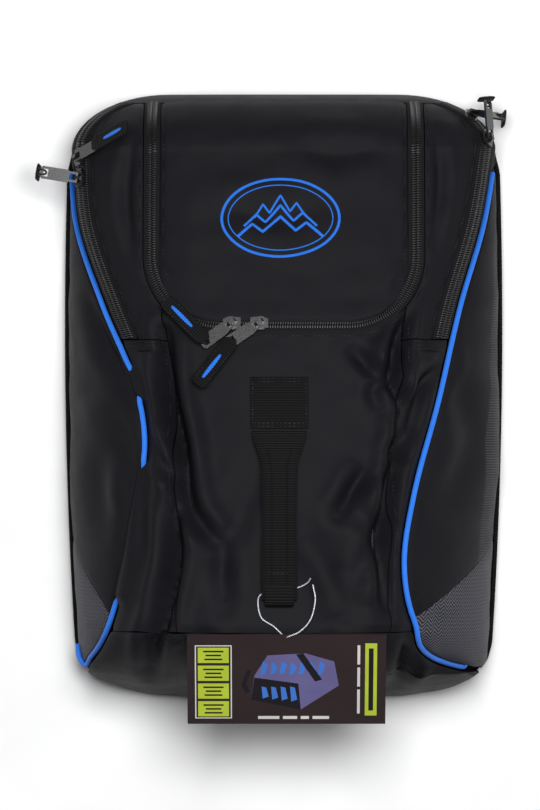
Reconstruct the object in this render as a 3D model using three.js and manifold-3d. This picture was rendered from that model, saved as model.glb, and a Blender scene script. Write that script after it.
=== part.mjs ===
// Boot and gear backpack, lying on its back with its lid and handle up.
//
// Millimetres, +Z up. X runs across the bag, +Y points to the bag's top end, and Z = 0 is the
// plane that the back padding rests on. The soft shell is one smooth skin, given by its height
// over the plan. Every fabric panel, zip half and cord of piping is cut from that skin.

import * as THREE from 'three';
import { mergeVertices } from 'three/addons/utils/BufferGeometryUtils.js';
import Module from 'manifold-3d';

const wasm = await Module();
wasm.setup();

// ---------------------------------------------------------------- driving dimensions
const BAG_LENGTH = 524;
const BAG_WIDTH = 374;
const BASE_DEPTH = 205; // height of the crown at the base seam
const TOP_DEPTH = 122; // height of the crown where the top end starts to roll over
const CROWN_BOW = 8; // how far the crown bulges over a straight line between the two
const BASE_TAPER = 12; // how much each side draws in at the base end
const TOP_CORNER = { across: 85, along: 50 };
const BASE_CORNER = { across: 90, along: 35 };
const BASE_PANEL = 62; // length of the sloping base panel, seen from above
const TOP_ROLL = 55; // length of the rounded top end, seen from above
const TOP_PANEL = 9; // length of the top end panel, seen from above

const WALL = 3; // fabric, foam and lining together
const SEAM_GAP = 0.4;
const PAD_THICKNESS = 10;
const BACK_THICKNESS = 6;
const BACK_INSET = 1.5; // the back panel's edge lies this far inside the rim
const FIT_GAP = 0.3;
const SLIDER_GAP = 0.5; // under each zip slider
const FRONT_SQUARE = 4; // the front panel's facets across, small enough to follow the lid's curve

const LEFT_REACH = 68; // how far each side panel reaches in over the front, at its widest
const RIGHT_REACH = 81;
const SIDE_TIP_TOP = 46; // distance of a side panel's pointed end from the top edge
const SIDE_TIP_BASE = 22; // distance of its rounded end from the base edge
const SIDE_RISE = 0.86; // share of the crown's height that the piping reaches
const FLAP_START = 309; // distance of the boot zip's lower end from the base edge
const FLAP_TIP = 24; // how far short of the side panel's tip the flap's cloth ends
const PATCH_RIM = 139; // top of the hard-wearing corner patch at the rim
const PATCH_PIPING = 74; // and at the piping, both from the base edge

const PIPING_DIAMETER = 4.6;
const ZIP_WIDTH = 14;
const ZIP_THICKNESS = 3;
const ZIP_PROUD = 1.2;
const ZIP_END_ROOM = 4; // how far the two halves stand apart at the boot zip's top end
const ZIP_END_RUN = 40; // length over which they part, so that the flap opens freely
const TAPE_SPREAD = 10; // length over which the boot zip's outer tape widens to the rim
const LID_WIDTH = 212;
const LID_BOTTOM = 329; // distance of the lid's lower edge from the base edge
const LID_CORNER = 52;
const CENTRE_SEAM_LID = 104; // half width of the centre panel below the lid
const CENTRE_SEAM_BASE = 89; // and at the base seam

const SLIDER = { length: 15, width: 12, plate: 2.6, height: 7 };
const ARCH = { length: 8.4, width: 3.2, hole: 4.2, floor: 2.9, roof: 5.5 };
const PULLER = { length: 32, width: 11, thickness: 1.8, bar: 1.7, window: 6.2, slot: 5.2 };
const PULLER_EYE = { from: 25, to: 29, width: 6.4 };
const TAB = { length: 50, width: 14, thickness: 2.2, gap: 0.7 };

const HANDLE_WEBBING = 50;
const HANDLE_FOLDED = 30;
const HANDLE_THICKNESS = 3.6;
const HANDLE_TOP = 277; // distance of the sewn patch's upper edge from the base edge
const HANDLE_PATCH_LENGTH = 44;
const HANDLE_LENGTH = 143; // free length of the strap, seen from above
const HANDLE_LIFT = 13; // finger room under the middle of the strap
const HANDLE_END_LIFT = 4.5;

const TAG = { width: 167, height: 89, thickness: 0.8, hole: 6, tilt: 30 };
const TAG_LOOP_DIAMETER = 1.2;

const DIVIDER_X = 74;
const LINER = 2.4;
const LINER_ROOM = 6.6; // from the shell's outside down to the top of a divider
const BOARD = { width: 170, thickness: 3, room: 2 };

const CHANNEL = { inner: 32, outer: 108, base: 36 };
const PAD_EDGE = 18; // margin of the back padding inside the back panel's edge
const STRAP_PAD = { width: 62, thickness: 7, length: 190 };
const STRAP_WEBBING = { width: 25, thickness: 2.4, room: 52 }; // room to the channel's end
const STRAP_TOP_GAP = 20; // from the padding's top edge down to the shoulder straps
const LADDER_LOCK = { width: 34, length: 30, thickness: 4, bar: 5, side: 3.5 };
const STRAP_LIFT = 1.5; // room between the straps and the floor plane
const GRAB = { width: 58, length: 46, webbing: 14, thickness: 4, top: 4, depth: 1, room: 12 };

// ---------------------------------------------------------------- derived places
const TOP_Y = BAG_LENGTH / 2;
const BASE_Y = -BAG_LENGTH / 2;
const HALF_WIDTH = BAG_WIDTH / 2;
const BASE_SEAM_Y = BASE_Y + BASE_PANEL;
const TOP_SEAM_Y = TOP_Y - TOP_PANEL;
const FLAP_Y = BASE_Y + FLAP_START;
const FLAP_END_Y = TOP_Y - SIDE_TIP_TOP - FLAP_TIP;
const RIM_Z = PAD_THICKNESS + FIT_GAP + BACK_THICKNESS + FIT_GAP;
const PIPING_GAP = PIPING_DIAMETER / 2 + FIT_GAP;
const BOOT_ZIP_INSET = PIPING_GAP + 0.4 + ZIP_WIDTH / 2;
const LID_BOTTOM_Y = BASE_Y + LID_BOTTOM;
const WIDEST_Y = BASE_Y + 322;

// ---------------------------------------------------------------- materials
const cloth = new THREE.MeshStandardMaterial({ color: 0x1e1e22, roughness: 0.85, metalness: 0 });
const ribbed = new THREE.MeshStandardMaterial({ color: 0x44444a, roughness: 0.9, metalness: 0 });
const blue = new THREE.MeshStandardMaterial({ color: 0x2f7bea, roughness: 0.6, metalness: 0 });
const webbing = new THREE.MeshStandardMaterial({ color: 0x161616, roughness: 0.8, metalness: 0 });
const coil = new THREE.MeshStandardMaterial({ color: 0x151517, roughness: 0.45, metalness: 0 });
const metal = new THREE.MeshStandardMaterial({ color: 0x1b1b1d, roughness: 0.4, metalness: 0.8 });
const lining = new THREE.MeshStandardMaterial({ color: 0x26262a, roughness: 0.9, metalness: 0 });
const card = new THREE.MeshStandardMaterial({ color: 0x241b1c, roughness: 0.6, metalness: 0 });
const nylon = new THREE.MeshStandardMaterial({ color: 0xc8c8c8, roughness: 0.3, metalness: 0 });
const plastic = new THREE.MeshStandardMaterial({ color: 0x141414, roughness: 0.5, metalness: 0 });

const bag = new THREE.Group();

function addPart(name, geometry, material, matrix) {
  const mesh = new THREE.Mesh(geometry, material.clone());
  mesh.name = name;
  if (matrix) {
    mesh.applyMatrix4(matrix);
  }
  bag.add(mesh);
}

// ---------------------------------------------------------------- small helpers
const lerp = THREE.MathUtils.lerp;
const clamp = THREE.MathUtils.clamp;
const radians = THREE.MathUtils.degToRad;

function through(points) {
  const spline = new THREE.CubicInterpolant(
    points.map((point) => point[0]),
    points.map((point) => point[1]),
    1,
    [0],
  );
  return (at) => Math.max(0, spline.evaluate(at)[0]);
}

// Share of a side panel's full reach against the share of its length, from its base end.
const leftBow = through([
  [0, 0], [0.066, 0.35], [0.208, 0.69], [0.318, 0.85], [0.43, 1],
  [0.537, 0.91], [0.697, 0.47], [0.853, 0.1], [1, 0],
]);
const rightBow = through([
  [0, 0], [0.029, 0.57], [0.105, 0.86], [0.208, 1], [0.338, 0.93],
  [0.515, 0.685], [0.697, 0.444], [0.853, 0.17], [1, 0],
]);
const SIDES = {
  left: { sign: -1, reach: LEFT_REACH, bow: leftBow },
  right: { sign: 1, reach: RIGHT_REACH, bow: rightBow },
};

// ---------------------------------------------------------------- the skin
function cornerInset(y) {
  const top = clamp((y - TOP_Y + TOP_CORNER.along) / TOP_CORNER.along, 0, 1);
  const base = clamp((BASE_Y + BASE_CORNER.along - y) / BASE_CORNER.along, 0, 1);
  const topInset = TOP_CORNER.across * (1 - Math.sqrt(1 - top * top));
  return topInset + BASE_CORNER.across * (1 - Math.sqrt(1 - base * base));
}

function rimX(y) {
  const along = (y - WIDEST_Y) / (WIDEST_Y - BASE_Y);
  return HALF_WIDTH - BASE_TAPER * along * along - cornerInset(y);
}

function sideShare(side, y) {
  const from = BASE_Y + SIDE_TIP_BASE;
  const to = TOP_Y - SIDE_TIP_TOP;
  return side.bow(clamp((y - from) / (to - from), 0, 1));
}

function pipingX(side, y) {
  return rimX(y) - side.reach * sideShare(side, y);
}

// The edge of a panel beside the piping: inward is 1 on the front and -1 on the side panel.
function besidePipingX(side, y, inward) {
  const slope = pipingX(side, y + 0.5) - pipingX(side, y - 0.5);
  return pipingX(side, y) - inward * PIPING_GAP * Math.sqrt(1 + Math.min(slope * slope, 9));
}

function roll(share, power) {
  return Math.pow(1 - Math.pow(clamp(share, 0, 1), power), 1 / power);
}

function crownZ(y) {
  const along = clamp((y - BASE_SEAM_Y) / (TOP_Y - TOP_ROLL - BASE_SEAM_Y), 0, 1);
  const height = lerp(BASE_DEPTH, TOP_DEPTH, along) + CROWN_BOW * 4 * along * (1 - along);
  const ends = roll((BASE_SEAM_Y - y) / BASE_PANEL, 1.5) * roll((y - TOP_Y + TOP_ROLL) / TOP_ROLL, 2);
  return RIM_Z + (height - RIM_Z) * ends;
}

function skinZ(x, y) {
  const side = x < 0 ? SIDES.left : SIDES.right;
  const out = Math.min(Math.abs(x), rimX(y));
  const seam = pipingX(side, y);
  const share = sideShare(side, y);
  const crown = crownZ(y);
  const pipingZ = RIM_Z + (crown - RIM_Z) * SIDE_RISE * Math.pow(share, 0.45);
  if (out > seam) {
    const turn = radians(65);
    const inward = (rimX(y) - out) / (rimX(y) - seam);
    const angle = Math.acos(1 - inward * (1 - Math.cos(turn)));
    return RIM_Z + ((pipingZ - RIM_Z) * Math.sin(angle)) / Math.sin(turn);
  }
  const across = out / seam;
  const open = 1 - Math.pow(across, 3);
  const round = roll(across, 3.5);
  return pipingZ + (crown - pipingZ) * lerp(round, open, share);
}

function skinNormal(x, y) {
  const step = 0.8;
  const atY = clamp(y, BASE_Y + 2 * step, TOP_Y - 2 * step);
  const limit = rimX(atY) - 2 * step;
  const atX = clamp(x, -limit, limit);
  const slopeX = (skinZ(atX + step, atY) - skinZ(atX - step, atY)) / (2 * step);
  const slopeY = (skinZ(atX, atY + step) - skinZ(atX, atY - step)) / (2 * step);
  return new THREE.Vector3(-slopeX, -slopeY, 1).normalize();
}

// The point that lies depth under the skin, above the plan point (x, y).
function under(x, y, depth) {
  const point = new THREE.Vector3(x, y, skinZ(x, y)).addScaledVector(skinNormal(x, y), -depth);
  point.z = Math.max(point.z, RIM_Z);
  return point;
}

// ---------------------------------------------------------------- solids from grids and solids
function closedGrid(outer, inner) {
  const rows = outer.length;
  const columns = outer[0].length;
  const positions = [...outer.flat(), ...inner.flat()].flatMap((point) => point.toArray());
  const at = (layer, row, column) => layer * rows * columns + row * columns + column;
  const faces = [];
  const quad = (a, b, c, d) => faces.push(a, b, c, a, c, d);
  for (let row = 0; row + 1 < rows; row += 1) {
    for (let column = 0; column + 1 < columns; column += 1) {
      quad(at(0, row, column), at(0, row, column + 1), at(0, row + 1, column + 1), at(0, row + 1, column));
      quad(at(1, row, column), at(1, row + 1, column), at(1, row + 1, column + 1), at(1, row, column + 1));
    }
  }
  for (let row = 0; row + 1 < rows; row += 1) {
    const last = columns - 1;
    quad(at(0, row, 0), at(0, row + 1, 0), at(1, row + 1, 0), at(1, row, 0));
    quad(at(0, row, last), at(1, row, last), at(1, row + 1, last), at(0, row + 1, last));
  }
  for (let column = 0; column + 1 < columns; column += 1) {
    const last = rows - 1;
    quad(at(0, 0, column), at(1, 0, column), at(1, 0, column + 1), at(0, 0, column + 1));
    quad(at(0, last, column), at(0, last, column + 1), at(1, last, column + 1), at(1, last, column));
  }
  const geometry = new THREE.BufferGeometry();
  geometry.setAttribute('position', new THREE.Float32BufferAttribute(positions, 3));
  geometry.setIndex(faces);
  return facingOut(geometry);
}

function signedVolume(geometry) {
  const index = geometry.getIndex().array;
  const corner = (at) => new THREE.Vector3().fromBufferAttribute(geometry.getAttribute('position'), at);
  let volume = 0;
  for (let face = 0; face < index.length; face += 3) {
    const [a, b, c] = [corner(index[face]), corner(index[face + 1]), corner(index[face + 2])];
    volume += a.dot(b.cross(c)) / 6;
  }
  return volume;
}

function facingOut(geometry) {
  if (signedVolume(geometry) < 0) {
    geometry.setIndex([...geometry.getIndex().array].reverse());
  }
  geometry.computeVertexNormals();
  return geometry;
}

// A panel over the plan area that place(a, b) covers, with a and b from 0 to 1.
function panel(place, across, along, outerDepth, innerDepth) {
  const layer = (depth) => {
    const rows = [];
    for (let row = 0; row <= along; row += 1) {
      const line = [];
      for (let column = 0; column <= across; column += 1) {
        const [x, y] = place(column / across, row / along);
        line.push(under(x, y, depth));
      }
      rows.push(line);
    }
    return rows;
  };
  return closedGrid(layer(outerDepth), layer(innerDepth));
}

function toManifold(geometry) {
  const bare = geometry.clone();
  bare.deleteAttribute('normal');
  bare.deleteAttribute('uv');
  const merged = mergeVertices(bare, 1e-4);
  return new wasm.Manifold(
    new wasm.Mesh({
      numProp: 3,
      vertProperties: new Float32Array(merged.getAttribute('position').array),
      triVerts: new Uint32Array(merged.getIndex().array),
    }),
  );
}

function fromManifold(solid) {
  const mesh = solid.getMesh();
  const geometry = new THREE.BufferGeometry();
  geometry.setAttribute('position', new THREE.BufferAttribute(mesh.vertProperties, 3));
  geometry.setIndex([...mesh.triVerts]);
  geometry.computeVertexNormals();
  return geometry;
}

function extrude(shape, depth, from = 0) {
  const geometry = new THREE.ExtrudeGeometry(shape, { depth, bevelEnabled: false, curveSegments: 6 });
  geometry.translate(0, 0, from);
  return geometry;
}

function rectangle(x0, x1, y0, y1) {
  const corners = [[x0, y0], [x1, y0], [x1, y1], [x0, y1]];
  return corners.map(([x, y]) => new THREE.Vector2(x, y));
}

function tube(points, diameter, sides, steps) {
  const path = new THREE.CatmullRomCurve3(points, false, 'centripetal');
  const section = new THREE.Shape();
  for (let corner = 0; corner < sides; corner += 1) {
    const turn = (2 * Math.PI * corner) / sides;
    const point = [(diameter / 2) * Math.cos(turn), (diameter / 2) * Math.sin(turn)];
    if (corner === 0) {
      section.moveTo(...point);
    } else {
      section.lineTo(...point);
    }
  }
  return new THREE.ExtrudeGeometry(section, { steps, extrudePath: path, bevelEnabled: false });
}

// ---------------------------------------------------------------- seam lines, seen from above
function centreSeamX(y) {
  const share = clamp((y - BASE_SEAM_Y) / (LID_BOTTOM_Y - BASE_SEAM_Y), 0, 1);
  return lerp(CENTRE_SEAM_BASE, CENTRE_SEAM_LID, share * share);
}

function bootZipX(side, y) {
  return pipingX(side, y) - BOOT_ZIP_INSET;
}

// The lid's outline at a distance outside its edge, from the top left (0) to the top right (1).
const LID_HALF = LID_WIDTH / 2;
const LID_ARC_X = LID_HALF - LID_CORNER;
const LID_ARC_Y = LID_BOTTOM_Y + LID_CORNER;
function lidEdge(share, outside) {
  const straight = TOP_SEAM_Y - SEAM_GAP - LID_ARC_Y;
  const arc = (Math.PI / 2) * LID_CORNER;
  const half = straight + arc + LID_ARC_X;
  const left = share <= 0.5;
  const run = (left ? share : 1 - share) * 2 * half;
  const radius = LID_CORNER + outside;
  let x = LID_HALF + outside;
  let y = TOP_SEAM_Y - SEAM_GAP - run;
  if (run > straight) {
    const turn = Math.min((run - straight) / LID_CORNER, Math.PI / 2);
    x = LID_ARC_X + radius * Math.cos(turn);
    y = LID_ARC_Y - radius * Math.sin(turn);
  }
  if (run > straight + arc) {
    x = LID_ARC_X - (run - straight - arc);
  }
  return [left ? -x : x, y];
}

function lidShareAtArc(degrees) {
  const straight = TOP_SEAM_Y - SEAM_GAP - LID_ARC_Y;
  const half = straight + (Math.PI / 2) * LID_CORNER + LID_ARC_X;
  return (straight + radians(degrees) * LID_CORNER) / (2 * half);
}

// Fills the area between four edges, each given as a function from 0 to 1.
function coons(bottom, top, left, right) {
  const corners = [bottom(0), bottom(1), top(0), top(1)];
  return (a, b) =>
    [0, 1].map((axis) => {
      const rows = lerp(bottom(a)[axis], top(a)[axis], b);
      const columns = lerp(left(b)[axis], right(b)[axis], a);
      const low = lerp(corners[0][axis], corners[1][axis], a);
      const high = lerp(corners[2][axis], corners[3][axis], a);
      return rows + columns - lerp(low, high, b);
    });
}

// ---------------------------------------------------------------- back, pads and inner pieces
function outline(inset, steps) {
  const shape = new THREE.Shape();
  const points = [];
  for (let step = 0; step <= steps; step += 1) {
    const swing = Math.sin(-Math.PI / 2 + (Math.PI * step) / steps);
    const y = swing * (TOP_Y - inset);
    points.push([rimX(clamp(y, BASE_Y, TOP_Y)) - inset, y]);
  }
  const around = [...points, ...points.reverse().map(([x, y]) => [-x, y])];
  around.forEach(([x, y], at) => (at === 0 ? shape.moveTo(x, y) : shape.lineTo(x, y)));
  return shape;
}

function buildBack() {
  addPart('back_panel', extrude(outline(BACK_INSET, 28), BACK_THICKNESS, PAD_THICKNESS + FIT_GAP), cloth);
  const pad = toManifold(extrude(outline(PAD_EDGE, 20), PAD_THICKNESS));
  const channel = (x0, x1) => {
    const shape = new THREE.Shape(rectangle(x0, x1, BASE_Y + PAD_EDGE + CHANNEL.base, TOP_Y));
    return toManifold(extrude(shape, 3 * PAD_THICKNESS, -PAD_THICKNESS));
  };
  const grooved = pad
    .subtract(channel(CHANNEL.inner, CHANNEL.outer))
    .subtract(channel(-CHANNEL.outer, -CHANNEL.inner))
    .subtract(grabRoom());
  addPart('back_pad', fromManifold(grooved), lining);
}

// The grab loop lies across the middle strip of padding, so the padding stops below it.
function grabRoom() {
  const room = new THREE.Shape(
    rectangle(-CHANNEL.inner - 1, CHANNEL.inner + 1, TOP_Y - PAD_EDGE - GRAB.length - GRAB.room, TOP_Y),
  );
  return toManifold(extrude(room, 3 * PAD_THICKNESS, -PAD_THICKNESS));
}

function buildDividers() {
  const from = BASE_SEAM_Y + 14;
  const to = TOP_Y - TOP_ROLL + 12;
  for (const [name, sign] of [['divider_left', -1], ['divider_right', 1]]) {
    const wall = new THREE.Shape();
    wall.moveTo(from, RIM_Z + FIT_GAP);
    for (let step = 0; step <= 16; step += 1) {
      const y = lerp(from, to, step / 16);
      wall.lineTo(y, skinZ(sign * DIVIDER_X, y) - LINER_ROOM);
    }
    wall.lineTo(to, RIM_Z + FIT_GAP);
    const geometry = extrude(wall, LINER, -LINER / 2);
    const upright = new THREE.Matrix4();
    upright.set(0, 0, 1, sign * DIVIDER_X, 1, 0, 0, 0, 0, 1, 0, 0, 0, 0, 0, 1);
    geometry.applyMatrix4(upright);
    addPart(name, geometry, lining);
  }
}

function buildBaseBoard() {
  const depth = WALL + BOARD.room;
  const place = (a, b) => [
    lerp(-BOARD.width / 2, BOARD.width / 2, a),
    lerp(BASE_Y + 10, BASE_SEAM_Y - 8, b),
  ];
  addPart('base_board', panel(place, 6, 5, depth, depth + BOARD.thickness), plastic);
}

// ---------------------------------------------------------------- soft shell
function buildFront() {
  const topShare = lidShareAtArc(40);
  const topLimit = ZIP_WIDTH + 5 * SEAM_GAP;
  const lidCut = (a) => lidEdge(lerp(topShare, 1 - topShare, a), topLimit);
  const [, junctionY] = lidCut(0);
  const sideEdge = (sign) => (b) => {
    const y = lerp(BASE_SEAM_Y + SEAM_GAP, junctionY, b);
    return [sign * (centreSeamX(y) - SEAM_GAP), y];
  };
  const [leftX] = sideEdge(-1)(0);
  const seam = (a) => [lerp(leftX, -leftX, a), BASE_SEAM_Y + SEAM_GAP];
  const cut = (a) => {
    const [x, y] = lidCut(a);
    return [clamp(x, -centreSeamX(y) + SEAM_GAP, centreSeamX(y) - SEAM_GAP), y];
  };
  const columns = Math.ceil((2 * CENTRE_SEAM_LID) / FRONT_SQUARE);
  addPart('front_panel', panel(coons(seam, cut, sideEdge(-1), sideEdge(1)), columns, 10, 0, WALL), cloth);
}

function yokeInnerX(y) {
  const outside = ZIP_WIDTH + 2 * SEAM_GAP;
  if (y > LID_ARC_Y) {
    return LID_HALF + outside;
  }
  const radius = LID_CORNER + outside;
  const rise = clamp((LID_ARC_Y - y) / radius, 0, 1);
  return Math.max(LID_ARC_X + radius * Math.sqrt(1 - rise * rise), centreSeamX(y) + SEAM_GAP);
}

function buildSideOfFront(name, side) {
  const strip = (a, b) => {
    const y = lerp(BASE_SEAM_Y + SEAM_GAP, FLAP_Y - SEAM_GAP, b);
    return [side.sign * lerp(centreSeamX(y) + SEAM_GAP, besidePipingX(side, y, 1), a), y];
  };
  addPart(`front_strip_${name}`, panel(strip, 3, 10, 0, WALL), cloth);
  const yoke = (a, b) => {
    const y = lerp(FLAP_Y + SEAM_GAP, TOP_SEAM_Y - SEAM_GAP, b);
    const outer = bootZipX(side, y) - ZIP_WIDTH / 2 - SEAM_GAP;
    return [side.sign * lerp(yokeInnerX(y), outer, a), y];
  };
  addPart(`yoke_${name}`, panel(yoke, 4, 16, 0, WALL), cloth);
}

// Where the boot zip's outer tape ends: at the piping, and at the rim past the side flap.
function bootTapeX(side, y) {
  const past = clamp((y - FLAP_END_Y) / TAPE_SPREAD, 0, 1);
  return lerp(besidePipingX(side, y, 1), rimX(y), past);
}

function buildBootZip(name, side) {
  const from = FLAP_Y + SEAM_GAP;
  const to = TOP_SEAM_Y - SEAM_GAP;
  const outer = (a, b) => {
    const y = lerp(from, to, b);
    const out = 1 - (1 - a) * (1 - a);
    const parting = ZIP_END_ROOM * Math.pow(clamp(1 - (to - y) / ZIP_END_RUN, 0, 1), 2);
    const start = bootZipX(side, y) + SEAM_GAP / 2 + parting;
    return [side.sign * lerp(start, bootTapeX(side, y), out), y];
  };
  const inner = (a, b) => {
    const y = lerp(from, to, b);
    const centre = bootZipX(side, y);
    return [side.sign * lerp(centre - ZIP_WIDTH / 2, centre - SEAM_GAP / 2, a), y];
  };
  addPart(`boot_zip_outer_${name}`, panel(outer, 3, 22, -ZIP_PROUD, ZIP_THICKNESS - ZIP_PROUD), coil);
  addPart(`boot_zip_inner_${name}`, panel(inner, 1, 22, -ZIP_PROUD, ZIP_THICKNESS - ZIP_PROUD), coil);
}

function buildSide(name, side) {
  const tipRoom = 5;
  const patchTop = (a) => BASE_Y + lerp(PATCH_RIM, PATCH_PIPING, a);
  const across = (a, y) => {
    const seam = Math.min(besidePipingX(side, y, -1) + 2 * SEAM_GAP, rimX(y) - 1);
    return side.sign * lerp(rimX(y), seam, a * (0.3 + 0.7 * a));
  };
  const between = (from, to) => (a, b) => {
    const y = lerp(from(a), to(a), b);
    return [across(a, y), y];
  };
  const patch = between(() => BASE_Y + SIDE_TIP_BASE + tipRoom, (a) => patchTop(a) - SEAM_GAP);
  const main = between((a) => patchTop(a) + SEAM_GAP, () => FLAP_Y - SEAM_GAP);
  const flap = between(() => FLAP_Y + SEAM_GAP, () => FLAP_END_Y);
  addPart(`corner_patch_${name}`, panel(patch, 5, 8, 0, WALL), ribbed);
  addPart(`side_panel_${name}`, panel(main, 5, 9, 0, WALL), cloth);
  addPart(`side_flap_${name}`, panel(flap, 4, 8, 0, WALL), cloth);
}

function buildBase() {
  const limit = (side, y) => {
    const past = clamp((BASE_Y + SIDE_TIP_BASE + 3 - y) / 3, 0, 1);
    return lerp(besidePipingX(side, y, 1) - SEAM_GAP, rimX(y), past);
  };
  const place = (a, b) => {
    const y = lerp(BASE_Y, BASE_SEAM_Y - SEAM_GAP, b * b * 0.6 + b * 0.4);
    const swing = Math.sin((a - 0.5) * Math.PI);
    const side = swing < 0 ? SIDES.left : SIDES.right;
    return [swing * limit(side, y), y];
  };
  addPart('base_panel', panel(place, 16, 8, 0, WALL), cloth);
}

function buildTopPanel() {
  const place = (a, b) => {
    const y = lerp(TOP_SEAM_Y, TOP_Y, 1 - (1 - b) * (1 - b));
    return [Math.sin((a - 0.5) * Math.PI) * rimX(y), y];
  };
  addPart('top_panel', panel(place, 18, 4, 0, WALL), cloth);
}

function buildLid() {
  const corner = lidShareAtArc(45);
  const inside = -SEAM_GAP;
  const bottom = (a) => lidEdge(lerp(corner, 1 - corner, a), inside);
  const top = (a) => {
    const [x0, y] = lidEdge(0, inside);
    return [lerp(x0, -x0, a), y];
  };
  const left = (b) => lidEdge(lerp(corner, 0, b), inside);
  const right = (b) => lidEdge(lerp(1 - corner, 1, b), inside);
  addPart('lid_panel', panel(coons(bottom, top, left, right), 12, 14, 0, WALL), cloth);
  const strip = (from, to) => (a, b) => lidEdge(b, lerp(from, to, a));
  const middle = ZIP_WIDTH / 2;
  const innerTape = strip(0, middle - SEAM_GAP / 2);
  const outerTape = strip(middle + SEAM_GAP / 2, ZIP_WIDTH);
  addPart('lid_zip_inner', panel(innerTape, 1, 44, -ZIP_PROUD, ZIP_THICKNESS - ZIP_PROUD), coil);
  addPart('lid_zip_outer', panel(outerTape, 1, 44, -ZIP_PROUD, ZIP_THICKNESS - ZIP_PROUD), coil);
}

// ---------------------------------------------------------------- piping
function buildPiping(name, side) {
  const tipBase = BASE_Y + SIDE_TIP_BASE;
  const tipTop = TOP_Y - SIDE_TIP_TOP;
  const run = (from, to, count) => {
    const points = [];
    for (let step = 0; step <= count; step += 1) {
      const y = lerp(from, to, step / count);
      points.push(under(side.sign * pipingX(side, y), y, -0.6));
    }
    return points;
  };
  const rimRun = (from, to, count) => {
    const points = [];
    for (let step = 0; step <= count; step += 1) {
      const y = lerp(from, to, step / count);
      const slope = rimX(y + 0.5) - rimX(y - 0.5);
      const away = new THREE.Vector2(1, -slope).normalize().multiplyScalar(PIPING_GAP + 2.5 * SEAM_GAP);
      points.push(new THREE.Vector3(side.sign * (rimX(y) + away.x), y + away.y, RIM_Z));
    }
    return points;
  };
  const front = run(tipBase + 6, FLAP_Y - 0.3, 22);
  const flap = run(FLAP_Y + 0.3, FLAP_END_Y + 1, 12);
  addPart(`piping_front_${name}`, tube(front, PIPING_DIAMETER, 8, 40), blue);
  addPart(`piping_flap_${name}`, tube(flap, PIPING_DIAMETER, 8, 20), blue);
  addPart(`piping_back_${name}`, tube(rimRun(tipBase + 2, tipTop, 40), PIPING_DIAMETER, 8, 44), cloth);
}

// ---------------------------------------------------------------- sliders, pullers and pull tabs
function sliderGeometry(yaw) {
  const half = SLIDER.length / 2;
  const side = SLIDER.width / 2;
  const plan = new THREE.Shape();
  plan.moveTo(-half, -side * 0.6);
  plan.lineTo(-half * 0.3, -side);
  plan.lineTo(half, -side * 0.8);
  plan.lineTo(half, side * 0.8);
  plan.lineTo(-half * 0.3, side);
  plan.lineTo(-half, side * 0.6);
  const plate = toManifold(extrude(plan, SLIDER.plate));
  const reach = ARCH.length / 2;
  const profile = new THREE.Shape();
  profile.moveTo(-reach, SLIDER.plate / 2);
  profile.lineTo(reach, SLIDER.plate / 2);
  profile.lineTo(reach, ARCH.roof - 0.3);
  profile.lineTo(reach - 1.8, SLIDER.height);
  profile.lineTo(1.8 - reach, SLIDER.height);
  profile.lineTo(-reach, ARCH.roof - 0.3);
  profile.holes.push(new THREE.Path(rectangle(-ARCH.hole / 2, ARCH.hole / 2, ARCH.floor, ARCH.roof)));
  const arch = extrude(profile, ARCH.width, -ARCH.width / 2);
  arch.rotateX(Math.PI / 2);
  arch.rotateZ(yaw);
  return fromManifold(plate.add(toManifold(arch)));
}

function pullerGeometry() {
  const side = PULLER.width / 2;
  const start = -PULLER.bar / 2;
  const end = PULLER.length;
  const plan = new THREE.Shape();
  plan.moveTo(start, -side + 1);
  plan.lineTo(start, side - 1);
  plan.lineTo(PULLER.window, side - 1);
  plan.lineTo(PULLER.window + 3, side);
  plan.lineTo(end - 2, side);
  plan.lineTo(end, side - 2);
  plan.lineTo(end, 2 - side);
  plan.lineTo(end - 2, -side);
  plan.lineTo(PULLER.window + 3, -side);
  plan.lineTo(PULLER.window, 1 - side);
  const eye = PULLER_EYE.width / 2;
  plan.holes.push(
    new THREE.Path(rectangle(PULLER.bar / 2, PULLER.window, -PULLER.slot / 2, PULLER.slot / 2)),
    new THREE.Path(rectangle(PULLER_EYE.from, PULLER_EYE.to, -eye, eye)),
  );
  return extrude(plan, PULLER.thickness, -PULLER.thickness / 2);
}

function tabGeometry() {
  const side = TAB.width / 2;
  const plan = new THREE.Shape();
  plan.moveTo(0, -side * 0.5);
  plan.lineTo(5, -side);
  plan.lineTo(TAB.length - 2, -side);
  plan.lineTo(TAB.length, 2 - side);
  plan.lineTo(TAB.length, side - 2);
  plan.lineTo(TAB.length - 2, side);
  plan.lineTo(5, side);
  plan.lineTo(0, side * 0.5);
  return extrude(plan, TAB.thickness, -TAB.thickness / 2);
}

// The direction that lies in the plane of the normal and has this plan angle from +X.
function inPlane(degrees, normal) {
  const direction = new THREE.Vector3(Math.cos(radians(degrees)), Math.sin(radians(degrees)), 0);
  direction.z = -direction.dot(normal) / normal.z;
  return direction.normalize();
}

function basis(along, up, origin) {
  const side = up.clone().cross(along);
  return new THREE.Matrix4().makeBasis(along, side, up).setPosition(origin);
}

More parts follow.
